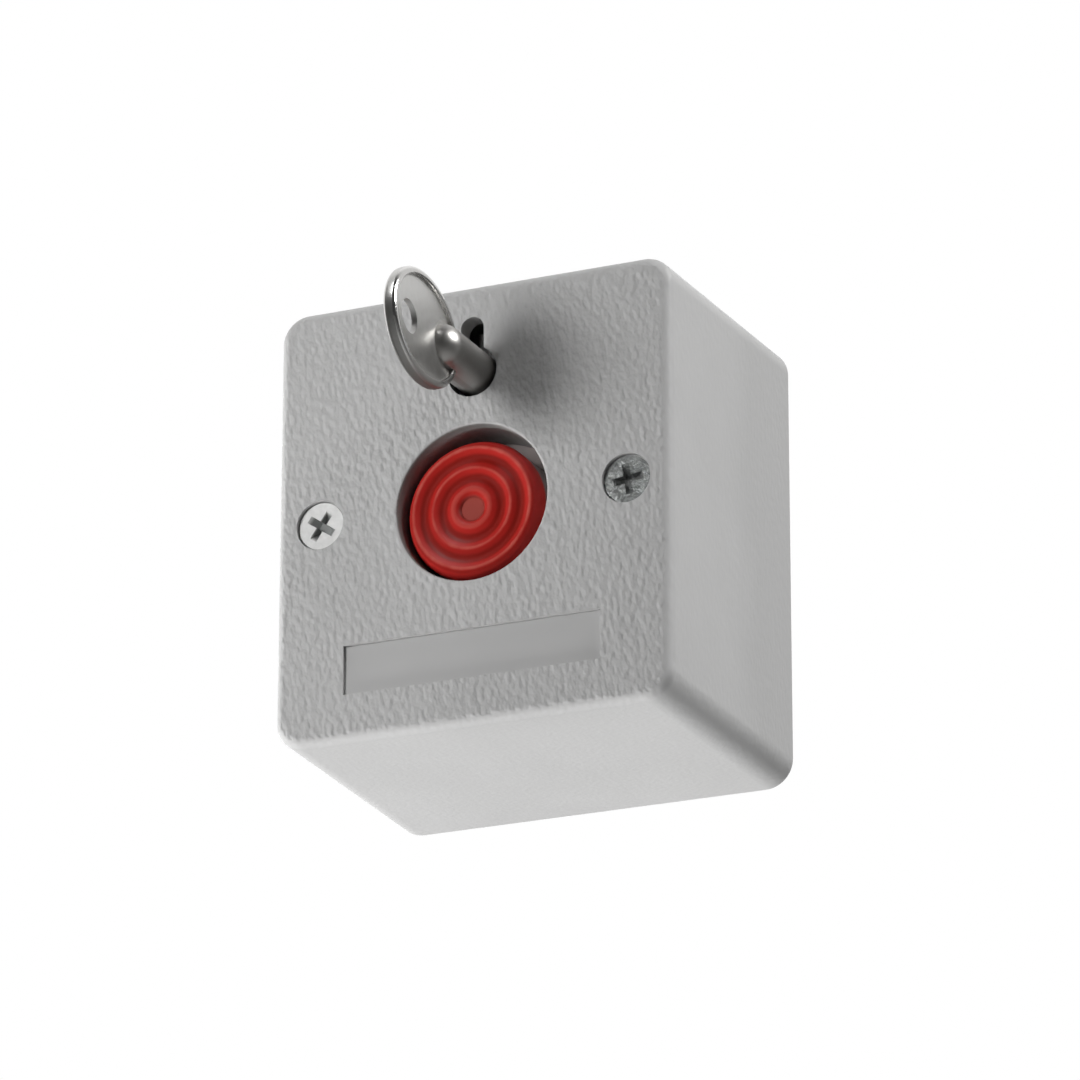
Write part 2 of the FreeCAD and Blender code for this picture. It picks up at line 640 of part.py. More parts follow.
def make_push_button():
    """Red cap, a little low and left in its hole, with a boss that stands centred on the stem."""
    line, corner = cap_face_profile()
    inner_r = BUTTON_R - CAP_WALL
    boss_y = CAP_INNER_Y + CAP_BOSS_LENGTH
    rest = [
        corner,
        Vector(BUTTON_R, FLANGE_Y, 0),
        Vector(FLANGE_R, FLANGE_Y, 0),
        Vector(FLANGE_R, FLANGE_BACK_Y, 0),
        Vector(inner_r, FLANGE_BACK_Y, 0),
        Vector(inner_r, CAP_INNER_Y, 0),
        Vector(0, CAP_INNER_Y, 0),
        Vector(0, BUTTON_Y + RING_HEIGHT, 0),
    ]
    for start, end in zip(rest, rest[1:]):
        line.append(Part.LineSegment(start, end).toShape())
    cap = revolved(Part.Wire(line))
    cap.translate(Vector(CAP_X, 0, CAP_Z))
    boss = rod(CAP_BOSS_R, CAP_INNER_Y, boss_y).cut(rod(STEM_R, CAP_INNER_Y, boss_y))
    return cap.fuse(boss)


def make_button_stem():
    points = [
        Vector(0, CAP_INNER_Y, 0),
        Vector(STEM_R, CAP_INNER_Y, 0),
        Vector(STEM_R, COLLAR_Y, 0),
        Vector(COLLAR_R, COLLAR_Y, 0),
        Vector(COLLAR_R, COLLAR_BACK_Y - COLLAR_CHAMFER, 0),
        Vector(COLLAR_R - COLLAR_CHAMFER, COLLAR_BACK_Y, 0),
        Vector(STEM_R, COLLAR_BACK_Y, 0),
        Vector(STEM_R, FOOT_Y - FOOT_CHAMFER, 0),
        Vector(STEM_R - FOOT_CHAMFER, FOOT_Y, 0),
        Vector(0, FOOT_Y, 0),
    ]
    return revolved(Part.makePolygon(points + points[:1]))


def make_return_spring():
    """Open coil of leaning half rings between the cap's roof and the turret, its end halves flat."""
    start_y = CAP_INNER_Y + SPRING_SEAT_GAP + SPRING_WIRE_R
    height = TURRET_Y - SPRING_SEAT_GAP - SPRING_WIRE_R - start_y
    count = max(1, round(2 * height / SPRING_PITCH))
    halves = []
    level = start_y
    side = 1
    for rise in [0.0] + [height / count] * count + [0.0]:
        start = Vector(side * SPRING_R, level, 0)
        section = Part.Face(Part.Wire(Part.makeCircle(SPRING_WIRE_R, start, Vector(0, 0, 1))))
        axis = Vector(side * rise, 2 * SPRING_R, 0)
        halves.append(section.revolve(Vector(0, level + rise / 2, 0), axis, 180))
        level += rise
        side = -side
    return halves[0].multiFuse(halves[1:]).removeSplitter()


def cam_outline(front, back):
    """Cam hub with a rounded nose towards +x, both sides tangent."""
    nose_x = CAM_REACH - CAM_NOSE_R
    lean = math.acos((CAM_HUB_R - CAM_NOSE_R) / nose_x)
    up = Vector(math.cos(lean), 0, math.sin(lean))
    down = Vector(math.cos(lean), 0, -math.sin(lean))
    hub = Vector(0, front, KEY_Z)
    nose = Vector(nose_x, front, KEY_Z)
    corners = [hub + up * CAM_HUB_R, nose + up * CAM_NOSE_R, nose + down * CAM_NOSE_R, hub + down * CAM_HUB_R]
    bridge = Part.Face(Part.makePolygon(corners + corners[:1])).extrude(Vector(0, back - front, 0))
    tip = rod(CAM_NOSE_R, front, back, nose_x, KEY_Z)
    return rod(CAM_HUB_R, front, back, 0, KEY_Z).multiFuse([bridge, tip])


def make_reset_rotor():
    clip_y = PLATE_BACK_Y + CLIP_GAP
    end_y = clip_y + 2 * CLIP_THICKNESS
    head = rod(ROTOR_R, ROTOR_FRONT_Y, HEAD_BACK_Y, 0, KEY_Z)
    neck = rod(ROTOR_NECK_R, HEAD_BACK_Y, LEAF_Y, 0, KEY_Z)
    cam = cam_outline(LEAF_Y, LEAF_BACK_Y)
    journal = rod(JOURNAL_R, LEAF_BACK_Y, end_y, 0, KEY_Z)
    rotor = head.multiFuse([neck, cam, journal])
    groove = rod(JOURNAL_R, clip_y, clip_y + CLIP_THICKNESS, 0, KEY_Z)
    groove = groove.cut(rod(CLIP_GROOVE_R, clip_y, clip_y + CLIP_THICKNESS, 0, KEY_Z))
    socket = rod(KEY_SHANK_R + RUNNING_GAP, ROTOR_FRONT_Y, SOCKET_FLOOR_Y, 0, KEY_Z)
    half_slot = BIT_THICKNESS / 2 + ROTOR_SLOT_GAP
    slot_back = BIT_BACK_Y + BIT_GAP
    slot = block(-half_slot, half_slot, ROTOR_FRONT_Y, slot_back, KEY_Z, KEY_Z + ROTOR_R)
    return rotor.cut([groove, socket, slot]).removeSplitter()


def make_rotor_clip():
    clip_y = PLATE_BACK_Y + CLIP_GAP
    back = clip_y + CLIP_THICKNESS
    ring = rod(CLIP_R, clip_y, back, 0, KEY_Z).cut(rod(CLIP_GROOVE_R + THREAD_GAP, clip_y, back, 0, KEY_Z))
    mouth = block(-CLIP_MOUTH / 2, CLIP_MOUTH / 2, clip_y, back, KEY_Z - CLIP_R, KEY_Z)
    return ring.cut(mouth)


def oval(half_length, half_height, x):
    """Oval face that stands in the plane of the bow, its long axis along the depth."""
    ellipse = Part.Ellipse(Vector(0, 0, 0), half_length, half_height)
    face = Part.Face(Part.Wire(ellipse.toShape()))
    place = FreeCAD.Matrix(0, 0, 1, x, 1, 0, 0, FRONT_Y - BOW_CENTRE, 0, 1, 0, BOW_Z)
    face.transformShape(place)
    return face


def oval_slab(half_length, half_height, low_x, high_x):
    return oval(half_length, half_height, low_x).extrude(Vector(high_x - low_x, 0, 0))


def make_key():
    half = BOW_THICKNESS / 2
    bow = oval_slab(BOW_HALF_LENGTH, BOW_HALF_HEIGHT, -half, half)
    bow = bow.makeFillet(BOW_EDGE_RADIUS, bow.Edges)
    inner_length = BOW_HALF_LENGTH - BOW_RIM
    inner_height = BOW_HALF_HEIGHT - BOW_RIM
    hollow = [
        oval_slab(inner_length, inner_height, BOW_WEB / 2, half),
        oval_slab(inner_length, inner_height, -half, -BOW_WEB / 2),
    ]
    bow = bow.cut(hollow)
    rim_end_z = BOW_Z + inner_height
    rims = [e for e in bow.Edges if abs(abs(e.BoundBox.Center.x) - half) < 1e-3]
    rims = [e for e in rims if abs(e.BoundBox.ZMax - rim_end_z) < 1e-3]
    bow = bow.makeFillet(RIM_EDGE_RADIUS, rims)
    hole_y = FRONT_Y - BOW_CENTRE - RING_HOLE_OFFSET
    ring_hole = Part.makeCylinder(RING_HOLE_R, BOW_THICKNESS, Vector(-half, hole_y, BOW_Z), Vector(1, 0, 0))
    bow = bow.cut(ring_hole)
    neck_y = FRONT_Y - BOW_CENTRE + BOW_HALF_LENGTH
    dome = Part.makeSphere(KEY_SHANK_R, Vector(0, neck_y - DOME_REACH + KEY_SHANK_R, KEY_Z))
    shank = rod(KEY_SHANK_R, neck_y - DOME_REACH + KEY_SHANK_R, KEY_TIP_Y - KEY_TIP_CHAMFER, 0, KEY_Z)
    tip = taper(KEY_SHANK_R, KEY_SHANK_R - KEY_TIP_CHAMFER, KEY_TIP_Y - KEY_TIP_CHAMFER, KEY_TIP_Y, 0, KEY_Z)
    bow.rotate(Vector(0, 0, KEY_Z), BACKWARDS, BOW_TURN_DEG)
    bit = block(-BIT_THICKNESS / 2, BIT_THICKNESS / 2, BIT_FRONT_Y, BIT_BACK_Y, KEY_Z, KEY_Z + BIT_REACH)
    return bow.multiFuse([dome, shank, tip, bit]).removeSplitter()


def make_circuit_board():
    board = block(-BOARD_LEFT, BOARD_RIGHT, BOARD_Y, BOARD_BACK_Y, BOARD_BOTTOM_Z, BOARD_TOP_Z)
    uprights = [e for e in board.Edges if e.BoundBox.YLength > BOARD_THICKNESS / 2]
    board = board.makeFillet(BOARD_EDGE, uprights)
    cuts = [rod(BOARD_SCREW_R + RECESS_GAP, BOARD_Y, BOARD_BACK_Y, x, z) for x, z in board_screw_places()]
    cuts += [rod(PIN_HOLE_R, BOARD_Y, BOARD_BACK_Y, 0, z) for z in pin_places()]
    return board.cut(cuts)


def make_board_screws():
    screws = []
    for x, z in board_screw_places():
        head_y = BOARD_Y - BOARD_SCREW_HEAD_HEIGHT
        head = rod(BOARD_SCREW_HEAD_R, head_y, BOARD_Y, x, z)
        screw = head.fuse(rod(BOARD_SCREW_R, BOARD_Y, BOARD_Y + BOARD_SCREW_LENGTH, x, z))
        slot = block(
            x - BOARD_SCREW_HEAD_R,
            x + BOARD_SCREW_HEAD_R,
            head_y,
            head_y + TERMINAL_SLOT_DEPTH,
            z - TERMINAL_SLOT_WIDTH / 2,
            z + TERMINAL_SLOT_WIDTH / 2,
        )
        screws.append(screw.cut(slot).removeSplitter())
    return Part.makeCompound(screws)


def pin_places():
    middle = (SWITCH_TOP_Z + SWITCH_BOTTOM_Z) / 2
    return [middle + step * PIN_SPACING for step in (-1, 0, 1)]


def make_switch_case():
    half = SWITCH_WIDTH / 2
    body = block(-half, half, SWITCH_Y, BOARD_Y, SWITCH_BOTTOM_Z, SWITCH_TOP_Z)
    ear_low = PIVOT_Z - SWITCH_EAR_REACH / 2
    ear_high = PIVOT_Z + SWITCH_EAR_REACH / 2
    ear_top = PIVOT_Y - SWITCH_EAR_REACH / 2
    inner = LEVER_WIDTH / 2 + LEAF_GAP
    parts = []
    for side in (-1, 1):
        near = side * inner
        far = side * (inner + SWITCH_EAR_THICKNESS)
        parts.append(block(min(near, far), max(near, far), ear_top, SWITCH_Y, ear_low, ear_high))
    pin_start = Vector(-inner, PIVOT_Y, PIVOT_Z)
    parts.append(Part.makeCylinder(PIVOT_PIN_R, 2 * inner, pin_start, Vector(1, 0, 0)))
    relief_half = LEVER_BARREL_R + LEAF_GAP
    relief = block(
        -inner, inner, SWITCH_Y, PIVOT_Y + relief_half, PIVOT_Z - relief_half, PIVOT_Z + relief_half
    )
    plunger_z = PIVOT_Z + SWITCH_PLUNGER_ARM
    bore_back = SWITCH_Y + SWITCH_PLUNGER_DEPTH
    bore = rod(SWITCH_PLUNGER_R + RUNNING_GAP, SWITCH_Y, bore_back, 0, plunger_z)
    pockets = [pin_block(z, BOARD_Y - PIN_TAIL, BOARD_Y) for z in pin_places()]
    return body.cut([relief, bore] + pockets).multiFuse(parts).removeSplitter()


def lever_angle():
    """How far the lever stands up at rest, in degrees."""
    return math.degrees(math.asin((PIVOT_Y - LEVER_REST_Y) / LEVER_REACH))


def make_switch_lever():
    centre = Vector(0, PIVOT_Y, PIVOT_Z)
    start = Vector(-LEVER_WIDTH / 2, PIVOT_Y, PIVOT_Z)
    barrel = Part.makeCylinder(LEVER_BARREL_R, LEVER_WIDTH, start, Vector(1, 0, 0))
    half = LEVER_THICKNESS / 2
    strip = block(
        -LEVER_WIDTH / 2, LEVER_WIDTH / 2, PIVOT_Y - half, PIVOT_Y + half, PIVOT_Z, PIVOT_Z + LEVER_REACH
    )
    eye = Part.makeCylinder(PIVOT_PIN_R + PIVOT_GAP, LEVER_WIDTH, start, Vector(1, 0, 0))
    lever = barrel.fuse(strip).cut(eye)
    lever.rotate(centre, Vector(1, 0, 0), lever_angle())
    return lever


def make_switch_plunger():
    angle = math.radians(lever_angle())
    under = PIVOT_Y - SWITCH_PLUNGER_ARM * math.tan(angle) + LEVER_THICKNESS / 2
    top = under + LEAF_GAP
    end = SWITCH_Y + SWITCH_PLUNGER_DEPTH - SWITCH_PLUNGER_R - RECESS_GAP
    return rod(SWITCH_PLUNGER_R, top, end, 0, PIVOT_Z + SWITCH_PLUNGER_ARM)


def pin_block(z, front, back):
    half_width = PIN_WIDTH / 2
    half_thickness = PIN_THICKNESS / 2
    return block(-half_width, half_width, front, back, z - half_thickness, z + half_thickness)


def make_switch_pins():
    tail_y = BOARD_BACK_Y + PIN_TAIL
    return Part.makeCompound([pin_block(z, BOARD_Y - PIN_TAIL, tail_y) for z in pin_places()])


def terminal_places():
    return [TERMINAL_LEFT + (way + 0.5) * TERMINAL_PITCH for way in range(TERMINAL_WAYS)]


def wire_pocket(x, inset):
    """Square way for one wire, open at the block's upper side."""
    half = WIRE_POCKET / 2 - inset
    middle = BOARD_Y - WIRE_POCKET_RISE - WIRE_POCKET / 2
    low = TERMINAL_TOP_Z - WIRE_POCKET_LENGTH + inset
    return block(x - half, x + half, middle - half, middle + half, low, TERMINAL_TOP_Z - inset)


def make_terminal_block():
    top_y = BOARD_Y - TERMINAL_HEIGHT
    right = TERMINAL_LEFT + TERMINAL_WIDTH
    body = block(TERMINAL_LEFT, right, top_y, BOARD_Y, TERMINAL_BOTTOM_Z, TERMINAL_TOP_Z)
    front_edges = [
        e for e in edges_at_level(body, top_y) if e.BoundBox.XLength > TERMINAL_WIDTH / 2
    ]
    body = body.makeChamfer(TERMINAL_LIFT, front_edges)
    screw_z = TERMINAL_TOP_Z - TERMINAL_DEPTH / 2
    cuts = []
    for x in terminal_places():
        cuts.append(wire_pocket(x, 0.0))
        floor = BOARD_Y - WIRE_POCKET_RISE - WIRE_POCKET
        cuts.append(rod(TERMINAL_WELL_R, top_y, floor, x, screw_z))
    return body.cut(cuts).removeSplitter()


def make_terminal_screws():
    screws = []
    top_y = BOARD_Y - TERMINAL_HEIGHT + TERMINAL_SCREW_SINK
    screw_z = TERMINAL_TOP_Z - TERMINAL_DEPTH / 2
    tip = BOARD_Y - WIRE_POCKET_RISE - WIRE_POCKET / 2
    for x in terminal_places():
        head = rod(TERMINAL_SCREW_HEAD_R, top_y, top_y + TERMINAL_SCREW_HEAD, x, screw_z)
        screw = head.fuse(rod(TERMINAL_SCREW_R, top_y + TERMINAL_SCREW_HEAD, tip, x, screw_z))
        slot = block(
            x - TERMINAL_SCREW_HEAD_R,
            x + TERMINAL_SCREW_HEAD_R,
            top_y,
            top_y + TERMINAL_SLOT_DEPTH,
            screw_z - TERMINAL_SLOT_WIDTH / 2,
            screw_z + TERMINAL_SLOT_WIDTH / 2,
        )
        screws.append(screw.cut(slot).removeSplitter())
    return Part.makeCompound(screws)


def make_wire_clamp(x):
    """Square sleeve in the wire pocket, open at both ends, that the terminal screw closes."""
    outer = wire_pocket(x, CLAMP_GAP)
    box = outer.BoundBox
    hollow = block(
        box.XMin + CLAMP_THICKNESS,
        box.XMax - CLAMP_THICKNESS,
        box.YMin + CLAMP_THICKNESS,
        box.YMax - CLAMP_THICKNESS,
        box.ZMin,
        box.ZMax,
    )
    screw_z = TERMINAL_TOP_Z - TERMINAL_DEPTH / 2
    screw_way = rod(TERMINAL_SCREW_R + THREAD_GAP, box.YMin, box.YMin + CLAMP_THICKNESS, x, screw_z)
    return outer.cut([hollow, screw_way])


def build_parts():
    parts = {
        "front_cover": make_front_cover(),
        "base_plate": make_base_plate(),
        "cover_screw_left": make_cover_screw(-SCREW_X, LEFT_CROSS_DEG),
        "cover_screw_right": make_cover_screw(SCREW_X, RIGHT_CROSS_DEG),
        "insert_left": make_insert(-SCREW_X),
        "insert_right": make_insert(SCREW_X),
        "push_button": make_push_button(),
        "button_stem": make_button_stem(),
        "return_spring": make_return_spring(),
        "mechanism_frame": make_mechanism_frame(),
        "frame_screws": make_frame_screws(),
        "reset_rotor": make_reset_rotor(),
        "rotor_clip": make_rotor_clip(),
        "latch_leaf": make_latch_leaf(),
        "leaf_screw": make_leaf_screw(),
        "key": make_key(),
        "circuit_board": make_circuit_board(),
        "board_screws": make_board_screws(),
        "switch_case": make_switch_case(),
        "switch_lever": make_switch_lever(),
        "switch_plunger": make_switch_plunger(),
        "switch_pins": make_switch_pins(),
        "terminal_block": make_terminal_block(),
        "terminal_screws": make_terminal_screws(),
    }
    for way, x in enumerate(terminal_places(), start=1):
        parts[f"wire_clamp_{way}"] = make_wire_clamp(x)
    return parts


os.makedirs("parts", exist_ok=True)
for name, shape in build_parts().items():
    shape.exportStep(f"parts/{name}.step")
    box = shape.BoundBox
    size = f"{box.XLength:.2f} x {box.YLength:.2f} x {box.ZLength:.2f}"
    print(f"{name}: {size} mm, {shape.Volume:.1f} mm3, {len(shape.Solids)} solid(s), valid {shape.isValid()}")
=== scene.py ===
# %% [markdown]
# A keyed emergency button, dressed for its portrait.
# The real object is a small grey wall box with a red push button and a metal reset key.
# Its construction comes from the frame, in metres, with the wall at y = 0 and the front towards -y.
# This lesson adds what a camera sees: light, grain, gloss, plating and a few finer shapes.

# %% Frame
import math

import bmesh
import bpy
from mathutils import Matrix, Vector


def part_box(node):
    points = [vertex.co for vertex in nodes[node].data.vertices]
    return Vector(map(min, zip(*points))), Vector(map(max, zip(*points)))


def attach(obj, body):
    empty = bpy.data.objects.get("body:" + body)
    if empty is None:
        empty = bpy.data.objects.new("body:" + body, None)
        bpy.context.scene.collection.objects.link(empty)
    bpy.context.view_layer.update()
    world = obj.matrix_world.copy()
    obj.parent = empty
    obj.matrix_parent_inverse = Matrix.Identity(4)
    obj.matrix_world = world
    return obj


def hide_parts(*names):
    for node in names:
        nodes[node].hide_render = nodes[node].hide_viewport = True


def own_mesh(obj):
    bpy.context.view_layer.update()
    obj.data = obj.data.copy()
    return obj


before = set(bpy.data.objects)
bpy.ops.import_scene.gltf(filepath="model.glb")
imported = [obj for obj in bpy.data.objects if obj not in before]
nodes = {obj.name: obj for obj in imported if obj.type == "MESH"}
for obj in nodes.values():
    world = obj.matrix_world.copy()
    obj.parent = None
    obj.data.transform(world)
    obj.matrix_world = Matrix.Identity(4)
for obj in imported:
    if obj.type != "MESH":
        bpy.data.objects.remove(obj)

MM = 0.001

scene = bpy.context.scene
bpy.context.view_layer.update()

# %% [markdown]
# The camera stands where the photographer's did: to the right of the box and below it, looking up.
# A viewpoint could be guessed and nudged, but a box has eight corners, so its place follows from them:
# the corners, the hole and the screws fix where the lens was and how long it was.
# A long lens, far away, keeps the box's edges almost parallel, as product photographs do.

# %% Camera
CAMERA_PLACE = Vector((288.1, -656.8, -254.5)) * MM
CAMERA_AIM = Vector((-0.38534, 0.85676, 0.34275))
CAMERA_UP = Vector((0.13886, -0.31336, 0.93943))
LENS_MM = 206.77
SENSOR_MM = 36.0

scene.view_settings.view_transform = "Standard"

camera_data = bpy.data.cameras.new("camera")
camera_data.lens = LENS_MM
camera_data.sensor_width = SENSOR_MM
camera = bpy.data.objects.new("camera", camera_data)
scene.collection.objects.link(camera)
camera_right = CAMERA_AIM.cross(CAMERA_UP).normalized()
camera_up = camera_right.cross(CAMERA_AIM).normalized()
camera_turn = Matrix((camera_right, camera_up, -CAMERA_AIM.normalized())).transposed()
camera.matrix_world = Matrix.Translation(CAMERA_PLACE) @ camera_turn.to_4x4()
scene.camera = camera
print("camera distance in mm:", round(CAMERA_PLACE.length / MM))

# %% [markdown]
# A wall box hangs at shoulder height, so the floor lies well below it, out of this upward view.
# The floor is matt and pale and takes the shadow; only camera rays see it brightened to paper white.
# The backdrop is the world itself. A camera ray that misses everything finds plain white there.
# Polished metal would look dead in an all-white room, so a mirror ray finds a studio instead:
# white paper behind the object and round its left, greyer on the right, and a dim room behind the photographer.

# %% Nodes
def place_node(tree, kind, **values):
    """A shader node with its settings and its unlinked sockets filled in by name."""
    node = tree.nodes.new(kind)
    for name, value in values.items():
        if hasattr(node, name):
            setattr(node, name, value)
        else:
            node.inputs[name.replace("_", " ")].default_value = value
    return node


def link(tree, source, target):
    tree.links.new(source, target)


def maths(tree, operation, first, second=None):
    """A maths node whose inputs may be sockets or plain numbers; gives its output."""
    node = tree.nodes.new("ShaderNodeMath")
    node.operation = operation
    for slot, value in enumerate((first, second)):
        if value is None:
            continue
        if isinstance(value, (int, float)):
            node.inputs[slot].default_value = value
        else:
            link(tree, value, node.inputs[slot])
    return node.outputs[0]


def ramp(tree, value, low, high, to_low=0.0, to_high=1.0):
    """Smooth step of a value between two limits."""
    node = place_node(tree, "ShaderNodeMapRange", interpolation_type="SMOOTHSTEP")
    link(tree, value, node.inputs["Value"])
    for name, number in (("From Min", low), ("From Max", high), ("To Min", to_low), ("To Max", to_high)):
        node.inputs[name].default_value = number
    return node.outputs[0]


# %% World
AMBIENT = 0.01
DIM_ROOM = 0.06
GREY_CORNER = 0.72
PAPER_WRAP = 0.35

world = bpy.data.worlds.new("studio")
world.use_nodes = True
scene.world = world
tree = world.node_tree
tree.nodes.clear()
rays = place_node(tree, "ShaderNodeLightPath")
direction = place_node(tree, "ShaderNodeTexCoord")
axes = place_node(tree, "ShaderNodeSeparateXYZ")
link(tree, direction.outputs["Generated"], axes.inputs[0])
leftward = maths(tree, "MULTIPLY", axes.outputs["X"], PAPER_WRAP)
behind = ramp(tree, maths(tree, "SUBTRACT", axes.outputs["Y"], leftward), -0.25, 0.45, DIM_ROOM, 1.0)
shaded = ramp(tree, axes.outputs["X"], 0.0, 0.4, 1.0, GREY_CORNER)
mirror = maths(tree, "MAXIMUM", rays.outputs["Is Glossy Ray"], rays.outputs["Is Transmission Ray"])
seen_in_metal = maths(tree, "MULTIPLY", mirror, maths(tree, "MULTIPLY", behind, shaded))
not_mirror = maths(tree, "SUBTRACT", 1.0, mirror)
ambient = maths(tree, "MULTIPLY", not_mirror, AMBIENT)
lit = maths(tree, "ADD", seen_in_metal, ambient)
strength = maths(tree, "MAXIMUM", lit, rays.outputs["Is Camera Ray"])
background = place_node(tree, "ShaderNodeBackground", Color=(1.0, 1.0, 1.0, 1.0))
output = place_node(tree, "ShaderNodeOutputWorld")
link(tree, strength, background.inputs["Strength"])
link(tree, background.outputs[0], output.inputs["Surface"])

# %% Floor
FLOOR_DROP = 0.85
FLOOR_SIZE = 12.0
FLOOR_COLOUR = (0.86, 0.86, 0.86, 1.0)
FLOOR_GLOW = 0.5
MIRROR_SHARE = 0.22

floor_mesh = bpy.data.meshes.new("floor")
form = bmesh.new()
bmesh.ops.create_grid(form, x_segments=1, y_segments=1, size=FLOOR_SIZE / 2)
bmesh.ops.translate(form, verts=form.verts, vec=(0, 0, -FLOOR_DROP))
form.to_mesh(floor_mesh)
form.free()
floor = bpy.data.objects.new("floor", floor_mesh)
scene.collection.objects.link(floor)

floor_material = bpy.data.materials.new("pale_floor")
floor_material.use_nodes = True
tree = floor_material.node_tree
tree.nodes.clear()
rays = place_node(tree, "ShaderNodeLightPath")
mirror = maths(tree, "MAXIMUM", rays.outputs["Is Glossy Ray"], rays.outputs["Is Transmission Ray"])
seen = maths(tree, "MAXIMUM", maths(tree, "MULTIPLY", mirror, MIRROR_SHARE), rays.outputs["Is Camera Ray"])
glow = place_node(tree, "ShaderNodeEmission", Color=(1.0, 1.0, 1.0, 1.0))
link(tree, maths(tree, "MULTIPLY", seen, FLOOR_GLOW), glow.inputs["Strength"])
matt = place_node(tree, "ShaderNodeBsdfDiffuse", Color=FLOOR_COLOUR)
both = place_node(tree, "ShaderNodeAddShader")
output = place_node(tree, "ShaderNodeOutputMaterial")
link(tree, glow.outputs[0], both.inputs[0])
link(tree, matt.outputs[0], both.inputs[1])
link(tree, both.outputs[0], output.inputs["Surface"])
floor_mesh.materials.append(floor_material)
print("floor drop in mm:", round(FLOOR_DROP / MM))

# %% [markdown]
# Four soft panels light the box, each from the side that the photograph's shadows tell.
# The key's shadow falls to the right and a little down, so the main panel stands in front on the left.
# The right wall and the underside are lighter than the front, so each has a panel of its own.
# Those two stand at the upper right and the lower left, which leaves the edge between them dark.
# A weak one from the far left draws the bright line down the front's left edge.
# A fifth panel is only for the metal: it puts the highlight on the key and lights nothing else.

# %% Lights
LIT = math.pi**2
GLINT_TOWARDS = (-0.1, -0.6, 0.79)


def add_panel(name, towards, distance, size, level, in_mirrors=True):
    """Square soft light that gives a surface facing it the given level, where 1 renders a colour as written."""
    place = Vector(towards).normalized() * distance
    data = bpy.data.lights.new(name, "AREA")
    data.shape = "SQUARE"
    data.size = size
    data.energy = level * LIT * distance**2
    lamp = bpy.data.objects.new(name, data)
    lamp.location = place
    lamp.rotation_mode = "QUATERNION"
    lamp.rotation_quaternion = place.to_track_quat("Z", "Y")
    lamp.visible_glossy = in_mirrors
    scene.collection.objects.link(lamp)
    print(name, "energy in W:", round(data.energy, 1))
    return lamp


add_panel("main_panel", (-0.466, -0.878, 0.1125), 0.296, 0.115, 0.66, in_mirrors=False)
glint = add_panel("glint_panel", GLINT_TOWARDS, 0.6, 0.16, 0.3)
glint.visible_diffuse = False
add_panel("right_panel", (0.77, 0.0, 0.63), 0.9, 0.4, 1.21)
add_panel("low_panel", (-0.50, -0.05, -0.80), 0.8, 0.4, 1.4, in_mirrors=False)
add_panel("left_panel", (-1.0, 0.0, 0.1), 0.9, 0.3, 0.42, in_mirrors=False)

# %% [markdown]
# Construction meshes are triangles that don't share corners, so light breaks at every facet.
# Retopology or a subdivision cage would cure that, but the facets are already where they belong.
# A welded copy is enough: corners merged, faces shaded smooth, and edges kept sharp past an angle.
# Weighted normals then let each big flat face keep its own direction, so only the bends blend.

# %% Pieces
CREASE_DEG = 30.0
WELD = 0.001 * MM


def put_in_scene(name, mesh, node, body):
    """Shows a mesh in place of a construction node, on the same moving body."""
    piece = bpy.data.objects.new(name, mesh)
    scene.collection.objects.link(piece)
    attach(piece, body)
    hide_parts(node)
    return piece


def welded_copy(node, body, crease_deg=CREASE_DEG):
    """Smooth-shaded copy of a construction node."""
    mesh = nodes[node].data.copy()
    form = bmesh.new()
    form.from_mesh(mesh)
    bmesh.ops.remove_doubles(form, verts=form.verts, dist=WELD)
    bmesh.ops.dissolve_degenerate(form, edges=form.edges, dist=WELD)
    for face in form.faces:
        face.smooth = True
    form.to_mesh(mesh)
    form.free()
    if "custom_normal" in mesh.attributes:
        mesh.attributes.remove(mesh.attributes["custom_normal"])
    mesh.set_sharp_from_angle(angle=math.radians(crease_deg))
    piece = put_in_scene(node + "_skin", mesh, node, body)
    even = piece.modifiers.new("even_light", "WEIGHTED_NORMAL")
    even.keep_sharp = True
    print(piece.name, "faces:", len(mesh.polygons))
    return piece


def dress(piece, material):
    """Gives a piece one material on all its slots."""
    piece.data.materials.clear()
    piece.data.materials.append(material)


# %% [markdown]
# The housing is moulded in light grey plastic with a leather grain etched into the mould.
# The grain could be sculpted or displaced, but it is only a few hundredths of a millimetre deep,
# so a bump is enough. Smooth noise, stretched upright and leaning a little, gives its soft swellings.
# It is coarse on the front and fine on the drafted walls, which must slide out of the mould.
# The label place is a smooth floor a little below the front, so depth alone tells where it is.
# Round the cap the hole's wall is painted darker, as painted shade, most of all on the left, where the cap hangs
# closest.
# The right wall is painted a little darker towards the back, as painted shade.

# %% Shader groups
def new_group(name, inputs, outputs):
    """Empty shader node group with named sockets; gives the group, its input node and its output node."""
    group = bpy.data.node_groups.new(name, "ShaderNodeTree")
    for label, kind, value in inputs:
        socket = group.interface.new_socket(label, in_out="INPUT", socket_type=kind)
        if value is not None:
            socket.default_value = value
    for label, kind in outputs:
        group.interface.new_socket(label, in_out="OUTPUT", socket_type=kind)
    return group, group.nodes.new("NodeGroupInput"), group.nodes.new("NodeGroupOutput")


VECTOR = "NodeSocketVector"
FLOAT = "NodeSocketFloat"
COLOUR = "NodeSocketColor"
RELIEF_INPUTS = [("Vector", VECTOR, None), ("Scale", FLOAT, 1000.0), ("Amount", FLOAT, 1.0)]
GRAIN_LEAN = math.radians(-9.0)
GRAIN_STRETCH = (1.0, 1.0, 1.6)
GRAIN_MEAN = 0.525


def noise_of(group, given, vector=None, **values):
    """Noise at the group's own scale."""
    noise = place_node(group, "ShaderNodeTexNoise", **values)
    link(group, vector or given.outputs["Vector"], noise.inputs["Vector"])
    link(group, given.outputs["Scale"], noise.inputs["Scale"])
    return noise.outputs["Fac"]


